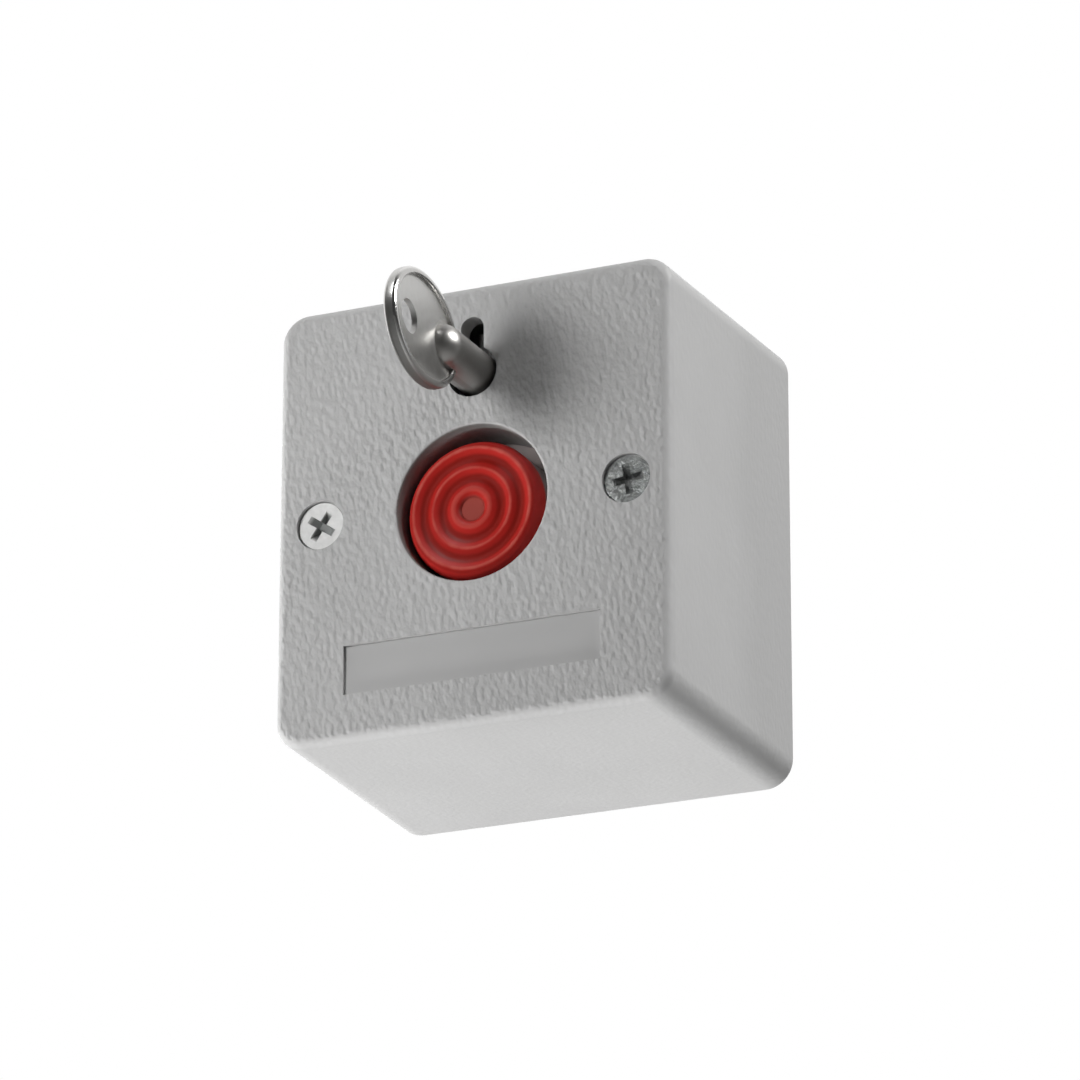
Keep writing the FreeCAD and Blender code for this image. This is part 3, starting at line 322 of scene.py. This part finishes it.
def make_leather_grain():
    """Moulded leather grain: soft leaning swellings, longer than wide, with fine speckle over them."""
    group, given, result = new_group("leather_grain", RELIEF_INPUTS, [("Height", FLOAT)])
    lean = place_node(
        group, "ShaderNodeMapping", vector_type="TEXTURE", Rotation=(0.0, GRAIN_LEAN, 0.0), Scale=GRAIN_STRETCH
    )
    link(group, given.outputs["Vector"], lean.inputs["Vector"])
    strokes = noise_of(group, given, lean.outputs[0], Detail=0.7, Roughness=0.4)
    speckle = place_node(group, "ShaderNodeTexNoise", Scale=4200.0, Detail=0.0)
    link(group, given.outputs["Vector"], speckle.inputs["Vector"])
    fine = maths(group, "MULTIPLY", speckle.outputs["Fac"], 0.05)
    height = maths(group, "SUBTRACT", maths(group, "ADD", strokes, fine), GRAIN_MEAN)
    link(group, maths(group, "MULTIPLY", height, given.outputs["Amount"]), result.inputs["Height"])
    return group


def make_speckle():
    """Fine sparked texture of a plain mould."""
    group, given, result = new_group("mould_speckle", RELIEF_INPUTS, [("Height", FLOAT)])
    fine = noise_of(group, given, Detail=3.0, Roughness=0.6)
    link(group, maths(group, "MULTIPLY", fine, given.outputs["Amount"]), result.inputs["Height"])
    return group


def make_streaks():
    """Long fine lines along the height, as rolling or drawing leaves them."""
    group, given, result = new_group("drawn_streaks", RELIEF_INPUTS, [("Height", FLOAT)])
    stretch = place_node(group, "ShaderNodeMapping")
    stretch.inputs["Scale"].default_value = (1.0, 1.0, 0.06)
    link(group, given.outputs["Vector"], stretch.inputs["Vector"])
    lines = noise_of(group, given, stretch.outputs[0], Detail=3.0)
    link(group, maths(group, "MULTIPLY", lines, given.outputs["Amount"]), result.inputs["Height"])
    return group


def make_turned_rings():
    """Fine tool marks round the depth axis, broken up a little."""
    group, given, result = new_group("turned_rings", RELIEF_INPUTS, [("Height", FLOAT)])
    rings = place_node(group, "ShaderNodeTexWave", wave_type="RINGS", rings_direction="Y", Distortion=0.6)
    link(group, given.outputs["Vector"], rings.inputs["Vector"])
    link(group, given.outputs["Scale"], rings.inputs["Scale"])
    link(group, maths(group, "MULTIPLY", rings.outputs["Fac"], given.outputs["Amount"]), result.inputs["Height"])
    return group


def make_gloss():
    """Roughness that drifts about a level, as handling and wear make it."""
    sockets = [("Vector", VECTOR, None), ("Scale", FLOAT, 400.0), ("Level", FLOAT, 0.5), ("Spread", FLOAT, 0.05)]
    group, given, result = new_group("uneven_gloss", sockets, [("Roughness", FLOAT)])
    cloud = noise_of(group, given, Detail=3.0)
    swing = maths(group, "MULTIPLY", maths(group, "SUBTRACT", cloud, 0.5), given.outputs["Spread"])
    level = maths(group, "ADD", given.outputs["Level"], maths(group, "MULTIPLY", swing, 2.0))
    link(group, level, result.inputs["Roughness"])
    return group


def make_tones():
    """Mixes two colours by a share, with a soft cloud that shifts the share a little."""
    sockets = [("Vector", VECTOR, None), ("Scale", FLOAT, 300.0), ("Share", FLOAT, 0.0), ("Drift", FLOAT, 0.2)]
    sockets += [("First", COLOUR, (0.5, 0.5, 0.5, 1.0)), ("Second", COLOUR, (0.5, 0.5, 0.5, 1.0))]
    group, given, result = new_group("two_tones", sockets, [("Color", COLOUR)])
    cloud = noise_of(group, given, Detail=2.0)
    swing = maths(group, "MULTIPLY", maths(group, "SUBTRACT", cloud, 0.5), given.outputs["Drift"])
    share = maths(group, "ADD", given.outputs["Share"], maths(group, "MULTIPLY", swing, 2.0))
    mix = place_node(group, "ShaderNodeMix", data_type="RGBA", clamp_factor=True)
    link(group, share, mix.inputs[0])
    link(group, given.outputs["First"], mix.inputs[6])
    link(group, given.outputs["Second"], mix.inputs[7])
    link(group, mix.outputs[2], result.inputs["Color"])
    return group


leather_grain = make_leather_grain()
mould_speckle = make_speckle()
drawn_streaks = make_streaks()
turned_rings = make_turned_rings()
uneven_gloss = make_gloss()
two_tones = make_tones()
print("shader groups:", len(bpy.data.node_groups))


# %% Material kit
def add_group(tree, group, place, **inputs):
    """Group node whose inputs may be sockets or plain values; gives its one output."""
    node = place_node(tree, "ShaderNodeGroup", node_tree=group)
    link(tree, place, node.inputs["Vector"])
    for name, value in inputs.items():
        if isinstance(value, bpy.types.NodeSocket):
            link(tree, value, node.inputs[name])
        elif isinstance(value, tuple):
            node.inputs[name].default_value = (*value, 1.0)
        else:
            node.inputs[name].default_value = value
    return node.outputs[0]


def new_material(name, metallic=0.0, specular=0.5, centre=(0.0, 0.0, 0.0)):
    """Material with a principled shader; gives it, its tree, the shader and a place measured from a centre."""
    material = bpy.data.materials.new(name)
    material.use_nodes = True
    tree = material.node_tree
    shader = tree.nodes["Principled BSDF"]
    shader.inputs["Metallic"].default_value = metallic
    shader.inputs["Specular IOR Level"].default_value = specular
    source = place_node(tree, "ShaderNodeTexCoord")
    shift = place_node(tree, "ShaderNodeMapping", Location=tuple(-value for value in centre))
    link(tree, source.outputs["Object"], shift.inputs["Vector"])
    return material, tree, shader, shift.outputs[0]


def add_relief(tree, shader, height, depth):
    """Raises a height pattern by a depth in metres."""
    bump = place_node(tree, "ShaderNodeBump", Distance=depth, Strength=1.0)
    link(tree, height, bump.inputs["Height"])
    link(tree, bump.outputs[0], shader.inputs["Normal"])


def radius_of(tree, where):
    """Distance from the depth axis through the place that a separate node splits up."""
    across = maths(tree, "MULTIPLY", where.outputs["X"], where.outputs["X"])
    upright = maths(tree, "MULTIPLY", where.outputs["Z"], where.outputs["Z"])
    return maths(tree, "SQRT", maths(tree, "ADD", across, upright))


def distance_to(tree, place, centre):
    """Distance from a fixed point, for a zone round it."""
    span = place_node(tree, "ShaderNodeVectorMath", operation="DISTANCE")
    link(tree, place, span.inputs[0])
    span.inputs[1].default_value = centre
    return span.outputs["Value"]


def surface(name, first, second, gloss, relief, relief_scale, depth, metallic=0.0, specular=0.5, centre=(0, 0, 0)):
    """Material with two drifting tones, uneven gloss and one relief."""
    material, tree, shader, place = new_material(name, metallic, specular, centre)
    tone = add_group(tree, two_tones, place, Share=0.5, Drift=1.0, First=first, Second=second)
    rough = add_group(tree, uneven_gloss, place, Level=gloss[0], Spread=gloss[1])
    height = add_group(tree, relief, place, Scale=relief_scale)
    link(tree, tone, shader.inputs["Base Color"])
    link(tree, rough, shader.inputs["Roughness"])
    add_relief(tree, shader, height, depth)
    return material


def centre_of(node):
    """Middle of a construction node's box."""
    low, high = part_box(node)
    return (Vector(low) + Vector(high)) / 2


# %% Housing
GREY = (0.46, 0.4585, 0.4565)
GREY_LOW_AND_SHADE = (0.398, 0.3965, 0.3945)
SIDE_SHADE_FROM_Y = -22.0 * MM
BORE_SHADE_GREY = (0.165, 0.175, 0.17)
BORE_RADIUS = 9.9 * MM
GRAIN_SCALE = 1650.0
GRAIN_DEPTH = 0.29 * MM
WALL_GRAIN = 0.2
FRONT_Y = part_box("front_cover")[0].y


def grained_grey():
    material, tree, shader, place = new_material("grained_grey", specular=0.4)
    source = place_node(tree, "ShaderNodeTexCoord")
    facing = place_node(tree, "ShaderNodeSeparateXYZ")
    link(tree, source.outputs["Normal"], facing.inputs[0])
    frontal = maths(tree, "MULTIPLY", facing.outputs["Y"], -1.0)
    strength = ramp(tree, frontal, 0.9, 0.999, WALL_GRAIN, 1.0)
    where = place_node(tree, "ShaderNodeSeparateXYZ")
    link(tree, place, where.inputs[0])
    sunk = maths(tree, "GREATER_THAN", where.outputs["Y"], FRONT_Y + 0.2 * MM)
    label_floor = maths(tree, "MULTIPLY", sunk, maths(tree, "GREATER_THAN", frontal, 0.98))
    amount = maths(tree, "MULTIPLY", strength, maths(tree, "SUBTRACT", 1.0, label_floor))
    height = add_group(tree, leather_grain, place, Scale=GRAIN_SCALE, Amount=amount)
    # random tone drift over the grey, plus painted shade that darkens the right wall towards the back
    sidelong = ramp(tree, facing.outputs["X"], 0.6, 0.95)
    backward = ramp(tree, where.outputs["Y"], SIDE_SHADE_FROM_Y, 0.0)
    tone_and_side_shade = maths(tree, "ADD", maths(tree, "MULTIPLY", maths(tree, "MULTIPLY", sidelong, backward), 1.5), 0.3)
    grey = add_group(tree, two_tones, place, Scale=60.0, Share=tone_and_side_shade, Drift=0.6, First=GREY, Second=GREY_LOW_AND_SHADE)
    # painted shade: the hole's wall round the cap is painted darker grey, strongest near the front and on the left
    within = maths(tree, "LESS_THAN", radius_of(tree, where), BORE_RADIUS)
    below = ramp(tree, where.outputs["Y"], FRONT_Y + 0.03 * MM, FRONT_Y + 0.2 * MM)
    shade_near_front = ramp(tree, where.outputs["Y"], FRONT_Y + 0.6 * MM, FRONT_Y + 2.5 * MM, 1.0, 0.3)
    bore_shade = maths(tree, "MULTIPLY", within, maths(tree, "MULTIPLY", below, shade_near_front))
    bore_shade = maths(tree, "MULTIPLY", bore_shade, ramp(tree, where.outputs["X"], 1.0 * MM, 7.0 * MM, 1.0, 0.1))
    tone = add_group(tree, two_tones, place, Scale=300.0, Share=bore_shade, Drift=0.0, First=grey, Second=BORE_SHADE_GREY)
    rough = add_group(tree, uneven_gloss, place, Scale=500.0, Level=0.52, Spread=0.06)
    link(tree, tone, shader.inputs["Base Color"])
    link(tree, rough, shader.inputs["Roughness"])
    add_relief(tree, shader, height, GRAIN_DEPTH)
    return material


housing = welded_copy("front_cover", "case")
dress(housing, grained_grey())

# %% [markdown]
# The red cap is a glossy moulding whose three rings stop a finger from slipping.
# The rings are already turned into the construction, so a welded copy keeps their true section.
# The crests are painted paler, as painted highlight, and the valleys deeper and darker, as painted shade;
# the flat centre is a browner red. The depth below the crests tells the material which is which.

# %% Red cap
CREST_HIGHLIGHT_RED = (0.56, 0.11, 0.085)
SLOPE_RED = (0.42, 0.017, 0.013)
VALLEY_SHADE_RED = (0.25, 0.011, 0.007)
DISC_RED = (0.34, 0.06, 0.046)
FLANK_LIGHT_RED = (0.68, 0.036, 0.03)
GAP_SHADE_GREY = (0.4, 0.35, 0.34)
RING_DEPTH = 0.5 * MM
DISC_RADIUS = 1.45 * MM
FLANK_RADIUS = 7.9 * MM


def make_cap_red():
    """Red of the cap: painted highlight along the crests, painted shade in the valleys, browner on the disc, painted
    light on the outer flank, painted grey shade deep below.
    """
    sockets = [("Vector", VECTOR, None), ("Scale", FLOAT, 500.0), ("Depth", FLOAT, 0.0), ("Radius", FLOAT, 0.0)]
    group, given, result = new_group("cap_red", sockets, [("Color", COLOUR)])
    cloud = noise_of(group, given, Detail=2.0)
    swing = maths(group, "MULTIPLY", maths(group, "SUBTRACT", cloud, 0.5), 0.12 * MM)
    depth = maths(group, "ADD", given.outputs["Depth"], swing)
    # painted highlight along the crests, weaker towards the centre; painted shade down in the valleys
    highlight_reach = ramp(group, given.outputs["Radius"], 2.0 * MM, 4.5 * MM, 0.3, 1.0)
    crest_highlight = maths(group, "MULTIPLY", ramp(group, depth, 0.0, 0.13 * MM, 1.0, 0.0), highlight_reach)
    colour = None
    for red, share in (
        (SLOPE_RED, None),
        (CREST_HIGHLIGHT_RED, crest_highlight),
        (VALLEY_SHADE_RED, ramp(group, depth, 0.5 * RING_DEPTH, RING_DEPTH)),
        (DISC_RED, ramp(group, given.outputs["Radius"], DISC_RADIUS * 0.8, DISC_RADIUS * 1.3, 1.0, 0.0)),
        # painted light: the outer flank past the outer ring is painted a brighter red
        (FLANK_LIGHT_RED, ramp(group, given.outputs["Radius"], FLANK_RADIUS, FLANK_RADIUS + 0.3 * MM)),
        # painted shade: deep below the rings the flange seen in the gap is painted grey
        (GAP_SHADE_GREY, ramp(group, depth, 4.0 * RING_DEPTH, 6.0 * RING_DEPTH)),
    ):
        mix = place_node(group, "ShaderNodeMix", data_type="RGBA", clamp_factor=True)
        mix.inputs[7].default_value = (*red, 1.0)
        if share is None:
            mix.inputs[0].default_value = 1.0
        else:
            link(group, share, mix.inputs[0])
            link(group, colour, mix.inputs[6])
        colour = mix.outputs[2]
    link(group, colour, result.inputs["Color"])
    return group


def glossy_red():
    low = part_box("push_button")[0]
    axis = centre_of("push_button")
    material, tree, shader, place = new_material("glossy_red", specular=0.3, centre=(axis.x, low[1], axis.z))
    where = place_node(tree, "ShaderNodeSeparateXYZ")
    link(tree, place, where.inputs[0])
    red = add_group(tree, make_cap_red(), place, Depth=where.outputs["Y"], Radius=radius_of(tree, where))
    rough = add_group(tree, uneven_gloss, place, Scale=600.0, Level=0.47, Spread=0.06)
    height = add_group(tree, mould_speckle, place, Scale=2500.0)
    link(tree, red, shader.inputs["Base Color"])
    link(tree, rough, shader.inputs["Roughness"])
    add_relief(tree, shader, height, 0.01 * MM)
    return material


cap = welded_copy("push_button", "button", crease_deg=40.0)
dress(cap, glossy_red())

# %% [markdown]
# The key is a small die casting, plated with nickel.
# One mirror finish over all of it would look like a render: the real one is bright on its rubbed rim,
# satin in the sunk web, and dull along the shank that slides in and out of the lock.
# The lower web, the shank, its dome and the bow's bottom are painted darker, as painted shade and painted reflection.
# The places of those zones follow from the key's own shape, so the material finds them by measuring.

# %% Key
KEY_AXIS_Z = 16.5 * MM
BOW_LEAN = 0.035
WEB_HALF = 0.5 * MM
SHANK_START = -41.5 * MM
PLATING = (0.7, 0.69, 0.675)
WEB_PLATING = (0.62, 0.615, 0.6)
LOW_SHADE_PLATING = (0.27, 0.265, 0.255)
DULL_AND_SHADE_PLATING = (0.36, 0.352, 0.338)
RING_HOLE = (0.0, -54.05 * MM, 0.3 * MM)
RING_HOLE_REACH = 2.2 * MM
DOME = (0.0, -44.5 * MM, 0.0)


def plated_key():
    material, tree, shader, place = new_material("plated_key", metallic=1.0, centre=(0.0, 0.0, KEY_AXIS_Z))
    where = place_node(tree, "ShaderNodeSeparateXYZ")
    link(tree, place, where.inputs[0])
    lean = maths(tree, "MULTIPLY", where.outputs["Z"], BOW_LEAN)
    sideways = maths(tree, "ABSOLUTE", maths(tree, "ADD", where.outputs["X"], lean))
    web = ramp(tree, sideways, WEB_HALF * 0.8, WEB_HALF, 1.0, 0.0)
    # the shank and its dome are rougher and painted darker, as painted reflection of the dim room
    shank = ramp(tree, where.outputs["Y"], SHANK_START - 4.5 * MM, SHANK_START - 3.0 * MM)
    round_axis = ramp(tree, radius_of(tree, where), 3.2 * MM, 3.6 * MM, 1.0, 0.0)
    shank = maths(tree, "MULTIPLY", shank, round_axis)
    # painted shade and painted reflection: the lower part of the web is painted darker
    low = maths(tree, "MULTIPLY", web, ramp(tree, where.outputs["Z"], -6.0 * MM, 2.0 * MM, 1.0, 0.0))
    dome = ramp(tree, distance_to(tree, place, DOME), 2.8 * MM, 3.2 * MM, 1.0, 0.0)
    hole = maths(tree, "LESS_THAN", distance_to(tree, place, RING_HOLE), RING_HOLE_REACH)
    # painted shade: the bottom of the bow is painted darker and made rougher
    foot_shade = ramp(tree, where.outputs["Z"], -7.5 * MM, -3.5 * MM, 1.0, 0.0)
    dull = maths(tree, "MAXIMUM", maths(tree, "MAXIMUM", shank, dome), foot_shade)
    level = maths(tree, "ADD", maths(tree, "MULTIPLY", maths(tree, "MAXIMUM", web, hole), 0.2), 0.16)
    level = maths(tree, "ADD", level, maths(tree, "MULTIPLY", dull, 0.2))
    level = maths(tree, "ADD", level, maths(tree, "MULTIPLY", foot_shade, 0.14))
    plating = add_group(
        tree, two_tones, place, Scale=1500.0, Share=web, Drift=0.2, First=PLATING, Second=WEB_PLATING
    )
    plating = add_group(
        tree, two_tones, place, Scale=1100.0, Share=low, Drift=0.15, First=plating, Second=LOW_SHADE_PLATING
    )
    tone = add_group(
        tree, two_tones, place, Scale=700.0, Share=dull, Drift=0.12, First=plating, Second=DULL_AND_SHADE_PLATING
    )
    rough = add_group(tree, uneven_gloss, place, Scale=900.0, Level=level, Spread=0.05)
    height = add_group(tree, mould_speckle, place, Scale=1400.0)
    link(tree, tone, shader.inputs["Base Color"])
    link(tree, rough, shader.inputs["Roughness"])
    add_relief(tree, shader, height, 0.012 * MM)
    return material


key = welded_copy("key", "key_piece")
dress(key, plated_key())

# %% [markdown]
# The two cover screws are zinc plated, with the hazy plating that is only half a mirror. The left one is pale;
# the right one has been driven more often, so it is duller, pitted and full of small glints.
# Both keep the construction's cross recess. The right one also has the four fine ticks between its arms,
# too shallow to be worth cutting, so they are drawn into its relief.

# %% Cover screws
TICK_START = 1.0 * MM
TICK_END = 2.2 * MM
TICK_HALF_WIDTH = 0.09 * MM
CROSS_SHADE = 0.45 * MM
CROSS_RECESS_SHADE = (0.32, 0.33, 0.325)


def make_ticks():
    """Fine diagonal ticks between the arms of a cross, with pits over all."""
    group, given, result = new_group("ticks_and_pits", RELIEF_INPUTS, [("Height", FLOAT)])
    where = place_node(group, "ShaderNodeSeparateXYZ")
    link(group, given.outputs["Vector"], where.inputs[0])
    across = maths(group, "ABSOLUTE", where.outputs["X"])
    upright = maths(group, "ABSOLUTE", where.outputs["Z"])
    nearest = maths(group, "MINIMUM", across, upright)
    farthest = maths(group, "MAXIMUM", across, upright)
    on_line = maths(group, "LESS_THAN", nearest, TICK_HALF_WIDTH)
    started = maths(group, "GREATER_THAN", farthest, TICK_START)
    ended = maths(group, "LESS_THAN", farthest, TICK_END)
    tick = maths(group, "MULTIPLY", maths(group, "MULTIPLY", on_line, started), ended)
    pits = noise_of(group, given, Detail=3.0, Roughness=0.6)
    height = maths(group, "SUBTRACT", pits, maths(group, "MULTIPLY", tick, 1.5))
    link(group, maths(group, "MULTIPLY", height, given.outputs["Amount"]), result.inputs["Height"])
    return group


def driven_zinc(name, node, metallic, bright, dull, gloss, relief, relief_scale, depth, tick_turn_deg=0.0):
    """Plating of a screw head with painted shade down in its cross; the relief turns with the cross."""
    material, tree, shader, place = new_material(name, metallic=metallic, centre=centre_of(node))
    where = place_node(tree, "ShaderNodeSeparateXYZ")
    link(tree, place, where.inputs[0])
    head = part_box(node)[0].y - centre_of(node).y
    # painted shade: the cross recess is painted dark grey below the head's face
    sunk = ramp(tree, where.outputs["Y"], head + 0.05 * MM, head + CROSS_SHADE)
    plating = add_group(tree, two_tones, place, Scale=900.0, Share=0.5, Drift=1.0, First=bright, Second=dull)
    tone = add_group(tree, two_tones, place, Share=sunk, Drift=0.0, First=plating, Second=CROSS_RECESS_SHADE)
    level = maths(tree, "ADD", maths(tree, "MULTIPLY", sunk, 0.2), gloss)
    rough = add_group(tree, uneven_gloss, place, Scale=1200.0, Level=level, Spread=0.07)
    turn = place_node(tree, "ShaderNodeMapping", Rotation=(0.0, math.radians(tick_turn_deg), 0.0))
    link(tree, place, turn.inputs["Vector"])
    height = add_group(tree, relief, turn.outputs[0], Scale=relief_scale)
    link(tree, tone, shader.inputs["Base Color"])
    link(tree, rough, shader.inputs["Roughness"])
    add_relief(tree, shader, height, depth)
    return material


left_zinc = driven_zinc(
    "left_zinc", "cover_screw_left", 0.3, (0.86, 0.86, 0.85), (0.74, 0.74, 0.73), 0.4,
    mould_speckle, 1500.0, 0.03 * MM,
)
left_screw = welded_copy("cover_screw_left", "case")
dress(left_screw, left_zinc)
worn_zinc = driven_zinc(
    "worn_zinc", "cover_screw_right", 0.65, (0.62, 0.64, 0.63), (0.22, 0.235, 0.23), 0.15,
    make_ticks(), 1900.0, 0.36 * MM, -53.0,
)
right_screw = welded_copy("cover_screw_right", "case")
dress(right_screw, worn_zinc)

# %% [markdown]
# Behind the cover a coil spring pushes the cap out. The construction carries it as leaning half rings.
# Its wire could be a curve with thickness; here it is built as a mesh.
# Spinning a small circle round the axis while it climbs gives a true coil: a flat half turn at each end,
# and the climbing turns between.

# %% Return spring
WIRE_RADIUS = 0.35 * MM
WIRE_SIDES = 12
HALF_TURN_STEPS = 16
CLIMBING_HALVES = 9


def make_coil():
    low, high = (Vector(corner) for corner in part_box("return_spring"))
    coil_radius = high.x - WIRE_RADIUS
    climb = high.y - low.y - 2 * WIRE_RADIUS
    form = bmesh.new()
    turn = Matrix.Translation((coil_radius, low.y + WIRE_RADIUS, 0.0))
    ends = bmesh.ops.create_circle(form, cap_ends=False, segments=WIRE_SIDES, radius=WIRE_RADIUS, matrix=turn)
    ring = list({edge for vert in ends["verts"] for edge in vert.link_edges})
    bmesh.ops.contextual_create(form, geom=ring)
    for halves, rise in ((1, 0.0), (CLIMBING_HALVES, climb), (1, 0.0)):
        steps = halves * HALF_TURN_STEPS
        swept = bmesh.ops.spin(
            form,
            geom=ring,
            cent=(0, 0, 0),
            axis=(0, 1, 0),
            dvec=(0, rise / steps, 0),
            angle=math.pi * halves,
            steps=steps,
        )
        ring = [item for item in swept["geom_last"] if isinstance(item, bmesh.types.BMEdge)]
    bmesh.ops.contextual_create(form, geom=ring)
    bmesh.ops.recalc_face_normals(form, faces=form.faces)
    for face in form.faces:
        face.smooth = len(face.verts) == 4
    mesh = bpy.data.meshes.new("coil")
    form.to_mesh(mesh)
    form.free()
    return mesh, high.y, high.y - low.y


coil_mesh, coil_end, coil_length = make_coil()
coil = put_in_scene("return_coil", coil_mesh, "return_spring", "case")
spring_wire = surface(
    "spring_wire", (0.42, 0.42, 0.43), (0.34, 0.34, 0.35), (0.28, 0.06), mould_speckle, 2500.0, 0.004 * MM, metallic=1.0
)
dress(coil, spring_wire)
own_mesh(coil)
print("coil faces:", len(coil_mesh.polygons), "free length in mm:", round(coil_length / MM, 2))

# %% [markdown]
# The rest sits inside and shows only when the box is opened, pressed or seen from its back.
# Each piece still has the finish its making leaves: sparked moulds, turned brass, rolled spring steel,
# rough zinc castings, a lacquered board. Round pieces get welded skins; flat ones keep their own mesh.

# %% Inner finishes
bright_zinc = surface(
    "bright_zinc", (0.62, 0.62, 0.61), (0.5, 0.5, 0.5), (0.42, 0.05), mould_speckle, 1500.0, 0.01 * MM, metallic=1.0
)
base_grey = surface(
    "base_grey", (0.43, 0.427, 0.42), (0.4, 0.397, 0.39), (0.5, 0.06), mould_speckle, 1300.0, 0.03 * MM
)
white_nylon = surface(
    "white_nylon", (0.72, 0.7, 0.64), (0.66, 0.63, 0.56), (0.4, 0.05), mould_speckle, 900.0, 0.01 * MM
)
black_moulded = surface(
    "black_moulded", (0.02, 0.02, 0.021), (0.035, 0.035, 0.036), (0.45, 0.08), mould_speckle, 2200.0, 0.02 * MM
)
turned_brass = surface(
    "turned_brass", (0.62, 0.43, 0.16), (0.5, 0.33, 0.12), (0.25, 0.06), turned_rings, 1500.0, 0.01 * MM, metallic=1.0
)
rolled_steel = surface(
    "rolled_steel", (0.46, 0.46, 0.47), (0.36, 0.36, 0.37), (0.3, 0.06), drawn_streaks, 2500.0, 0.006 * MM, metallic=1.0
)
cast_zinc = surface(
    "cast_zinc", (0.42, 0.42, 0.425), (0.32, 0.32, 0.325), (0.48, 0.08), mould_speckle, 1100.0, 0.03 * MM, metallic=1.0
)
tinned = surface(
    "tinned", (0.62, 0.62, 0.6), (0.52, 0.52, 0.5), (0.34, 0.08), mould_speckle, 1600.0, 0.01 * MM, metallic=1.0
)
terminal_blue = surface(
    "terminal_blue", (0.02, 0.11, 0.2), (0.03, 0.14, 0.24), (0.38, 0.06), mould_speckle, 1800.0, 0.015 * MM
)


# %% Board
TRACK_WIDTH = 3.2 * MM


def make_lacquer():
    """Green solder lacquer, paler where copper tracks lie under it."""
    group, given, result = new_group(
        "board_lacquer", [("Vector", VECTOR, None), ("Scale", FLOAT, 1.0)], [("Color", COLOUR), ("Height", FLOAT)]
    )
    upright = place_node(group, "ShaderNodeMapping", Rotation=(math.radians(90.0), 0.0, 0.0))
    link(group, given.outputs["Vector"], upright.inputs["Vector"])
    tracks = place_node(
        group,
        "ShaderNodeTexBrick",
        Color1=(0.012, 0.09, 0.035, 1.0),
        Color2=(0.015, 0.1, 0.04, 1.0),
        Mortar=(0.006, 0.05, 0.02, 1.0),
        Mortar_Size=0.35 * MM,
        Brick_Width=5.0 * TRACK_WIDTH,
        Row_Height=TRACK_WIDTH,
    )
    link(group, upright.outputs[0], tracks.inputs["Vector"])
    link(group, given.outputs["Scale"], tracks.inputs["Scale"])
    link(group, tracks.outputs["Color"], result.inputs["Color"])
    link(group, maths(group, "SUBTRACT", 1.0, tracks.outputs["Fac"]), result.inputs["Height"])
    return group


def lacquered_board():
    material, tree, shader, place = new_material("lacquered_board")
    lacquer = place_node(tree, "ShaderNodeGroup", node_tree=make_lacquer())
    link(tree, place, lacquer.inputs["Vector"])
    link(tree, lacquer.outputs["Color"], shader.inputs["Base Color"])
    rough = add_group(tree, uneven_gloss, place, Scale=300.0, Level=0.25, Spread=0.05)
    link(tree, rough, shader.inputs["Roughness"])
    add_relief(tree, shader, lacquer.outputs["Height"], 0.03 * MM)
    return material


# %% Inner pieces
ROUND_PIECES = {
    "base_plate": ("case", "base_plastic", base_grey),
    "button_stem": ("button", "white_plastic", white_nylon),
    "mechanism_frame": ("case", "black_plastic", black_moulded),
    "reset_rotor": ("rotor", "die_cast_zinc", cast_zinc),
    "insert_left": ("case", "brass", turned_brass),
    "insert_right": ("case", "brass", turned_brass),
    "terminal_screws": ("case", "bright_screw", bright_zinc),
    "frame_screws": ("case", "bright_screw", bright_zinc),
    "board_screws": ("case", "bright_screw", bright_zinc),
}
FLAT_PIECES = {
    "rotor_clip": rolled_steel,
    "leaf_screw": bright_zinc,
    "circuit_board": lacquered_board(),
    "switch_case": black_moulded,
    "switch_lever": rolled_steel,
    "switch_plunger": white_nylon,
    "switch_pins": tinned,
    "terminal_block": terminal_blue,
    "wire_clamp_1": turned_brass,
    "wire_clamp_2": turned_brass,
    "wire_clamp_3": turned_brass,
}
for node, (body, slot_name, finish) in ROUND_PIECES.items():
    dress(welded_copy(node, body), finish)
for node, finish in FLAT_PIECES.items():
    dress(nodes[node], finish)
# %% [markdown]
# The latch leaf hangs below the stem and catches its collar. Turning the key swings the rotor's cam down
# onto the leaf's tab, and the leaf gives way and lets the stem go.
# It could ride the rotor, but then it would turn with the key. It stays on the case instead.

leaf = welded_copy("latch_leaf", "case")
dress(leaf, rolled_steel)
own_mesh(leaf)

# %% Covered nodes
COVERED_NODES = (
    "front_cover", "push_button", "key", "cover_screw_left", "cover_screw_right", "return_spring", "latch_leaf",
)
for covered in COVERED_NODES:
    dress(nodes[covered], base_grey)
print("materials:", len(bpy.data.materials))
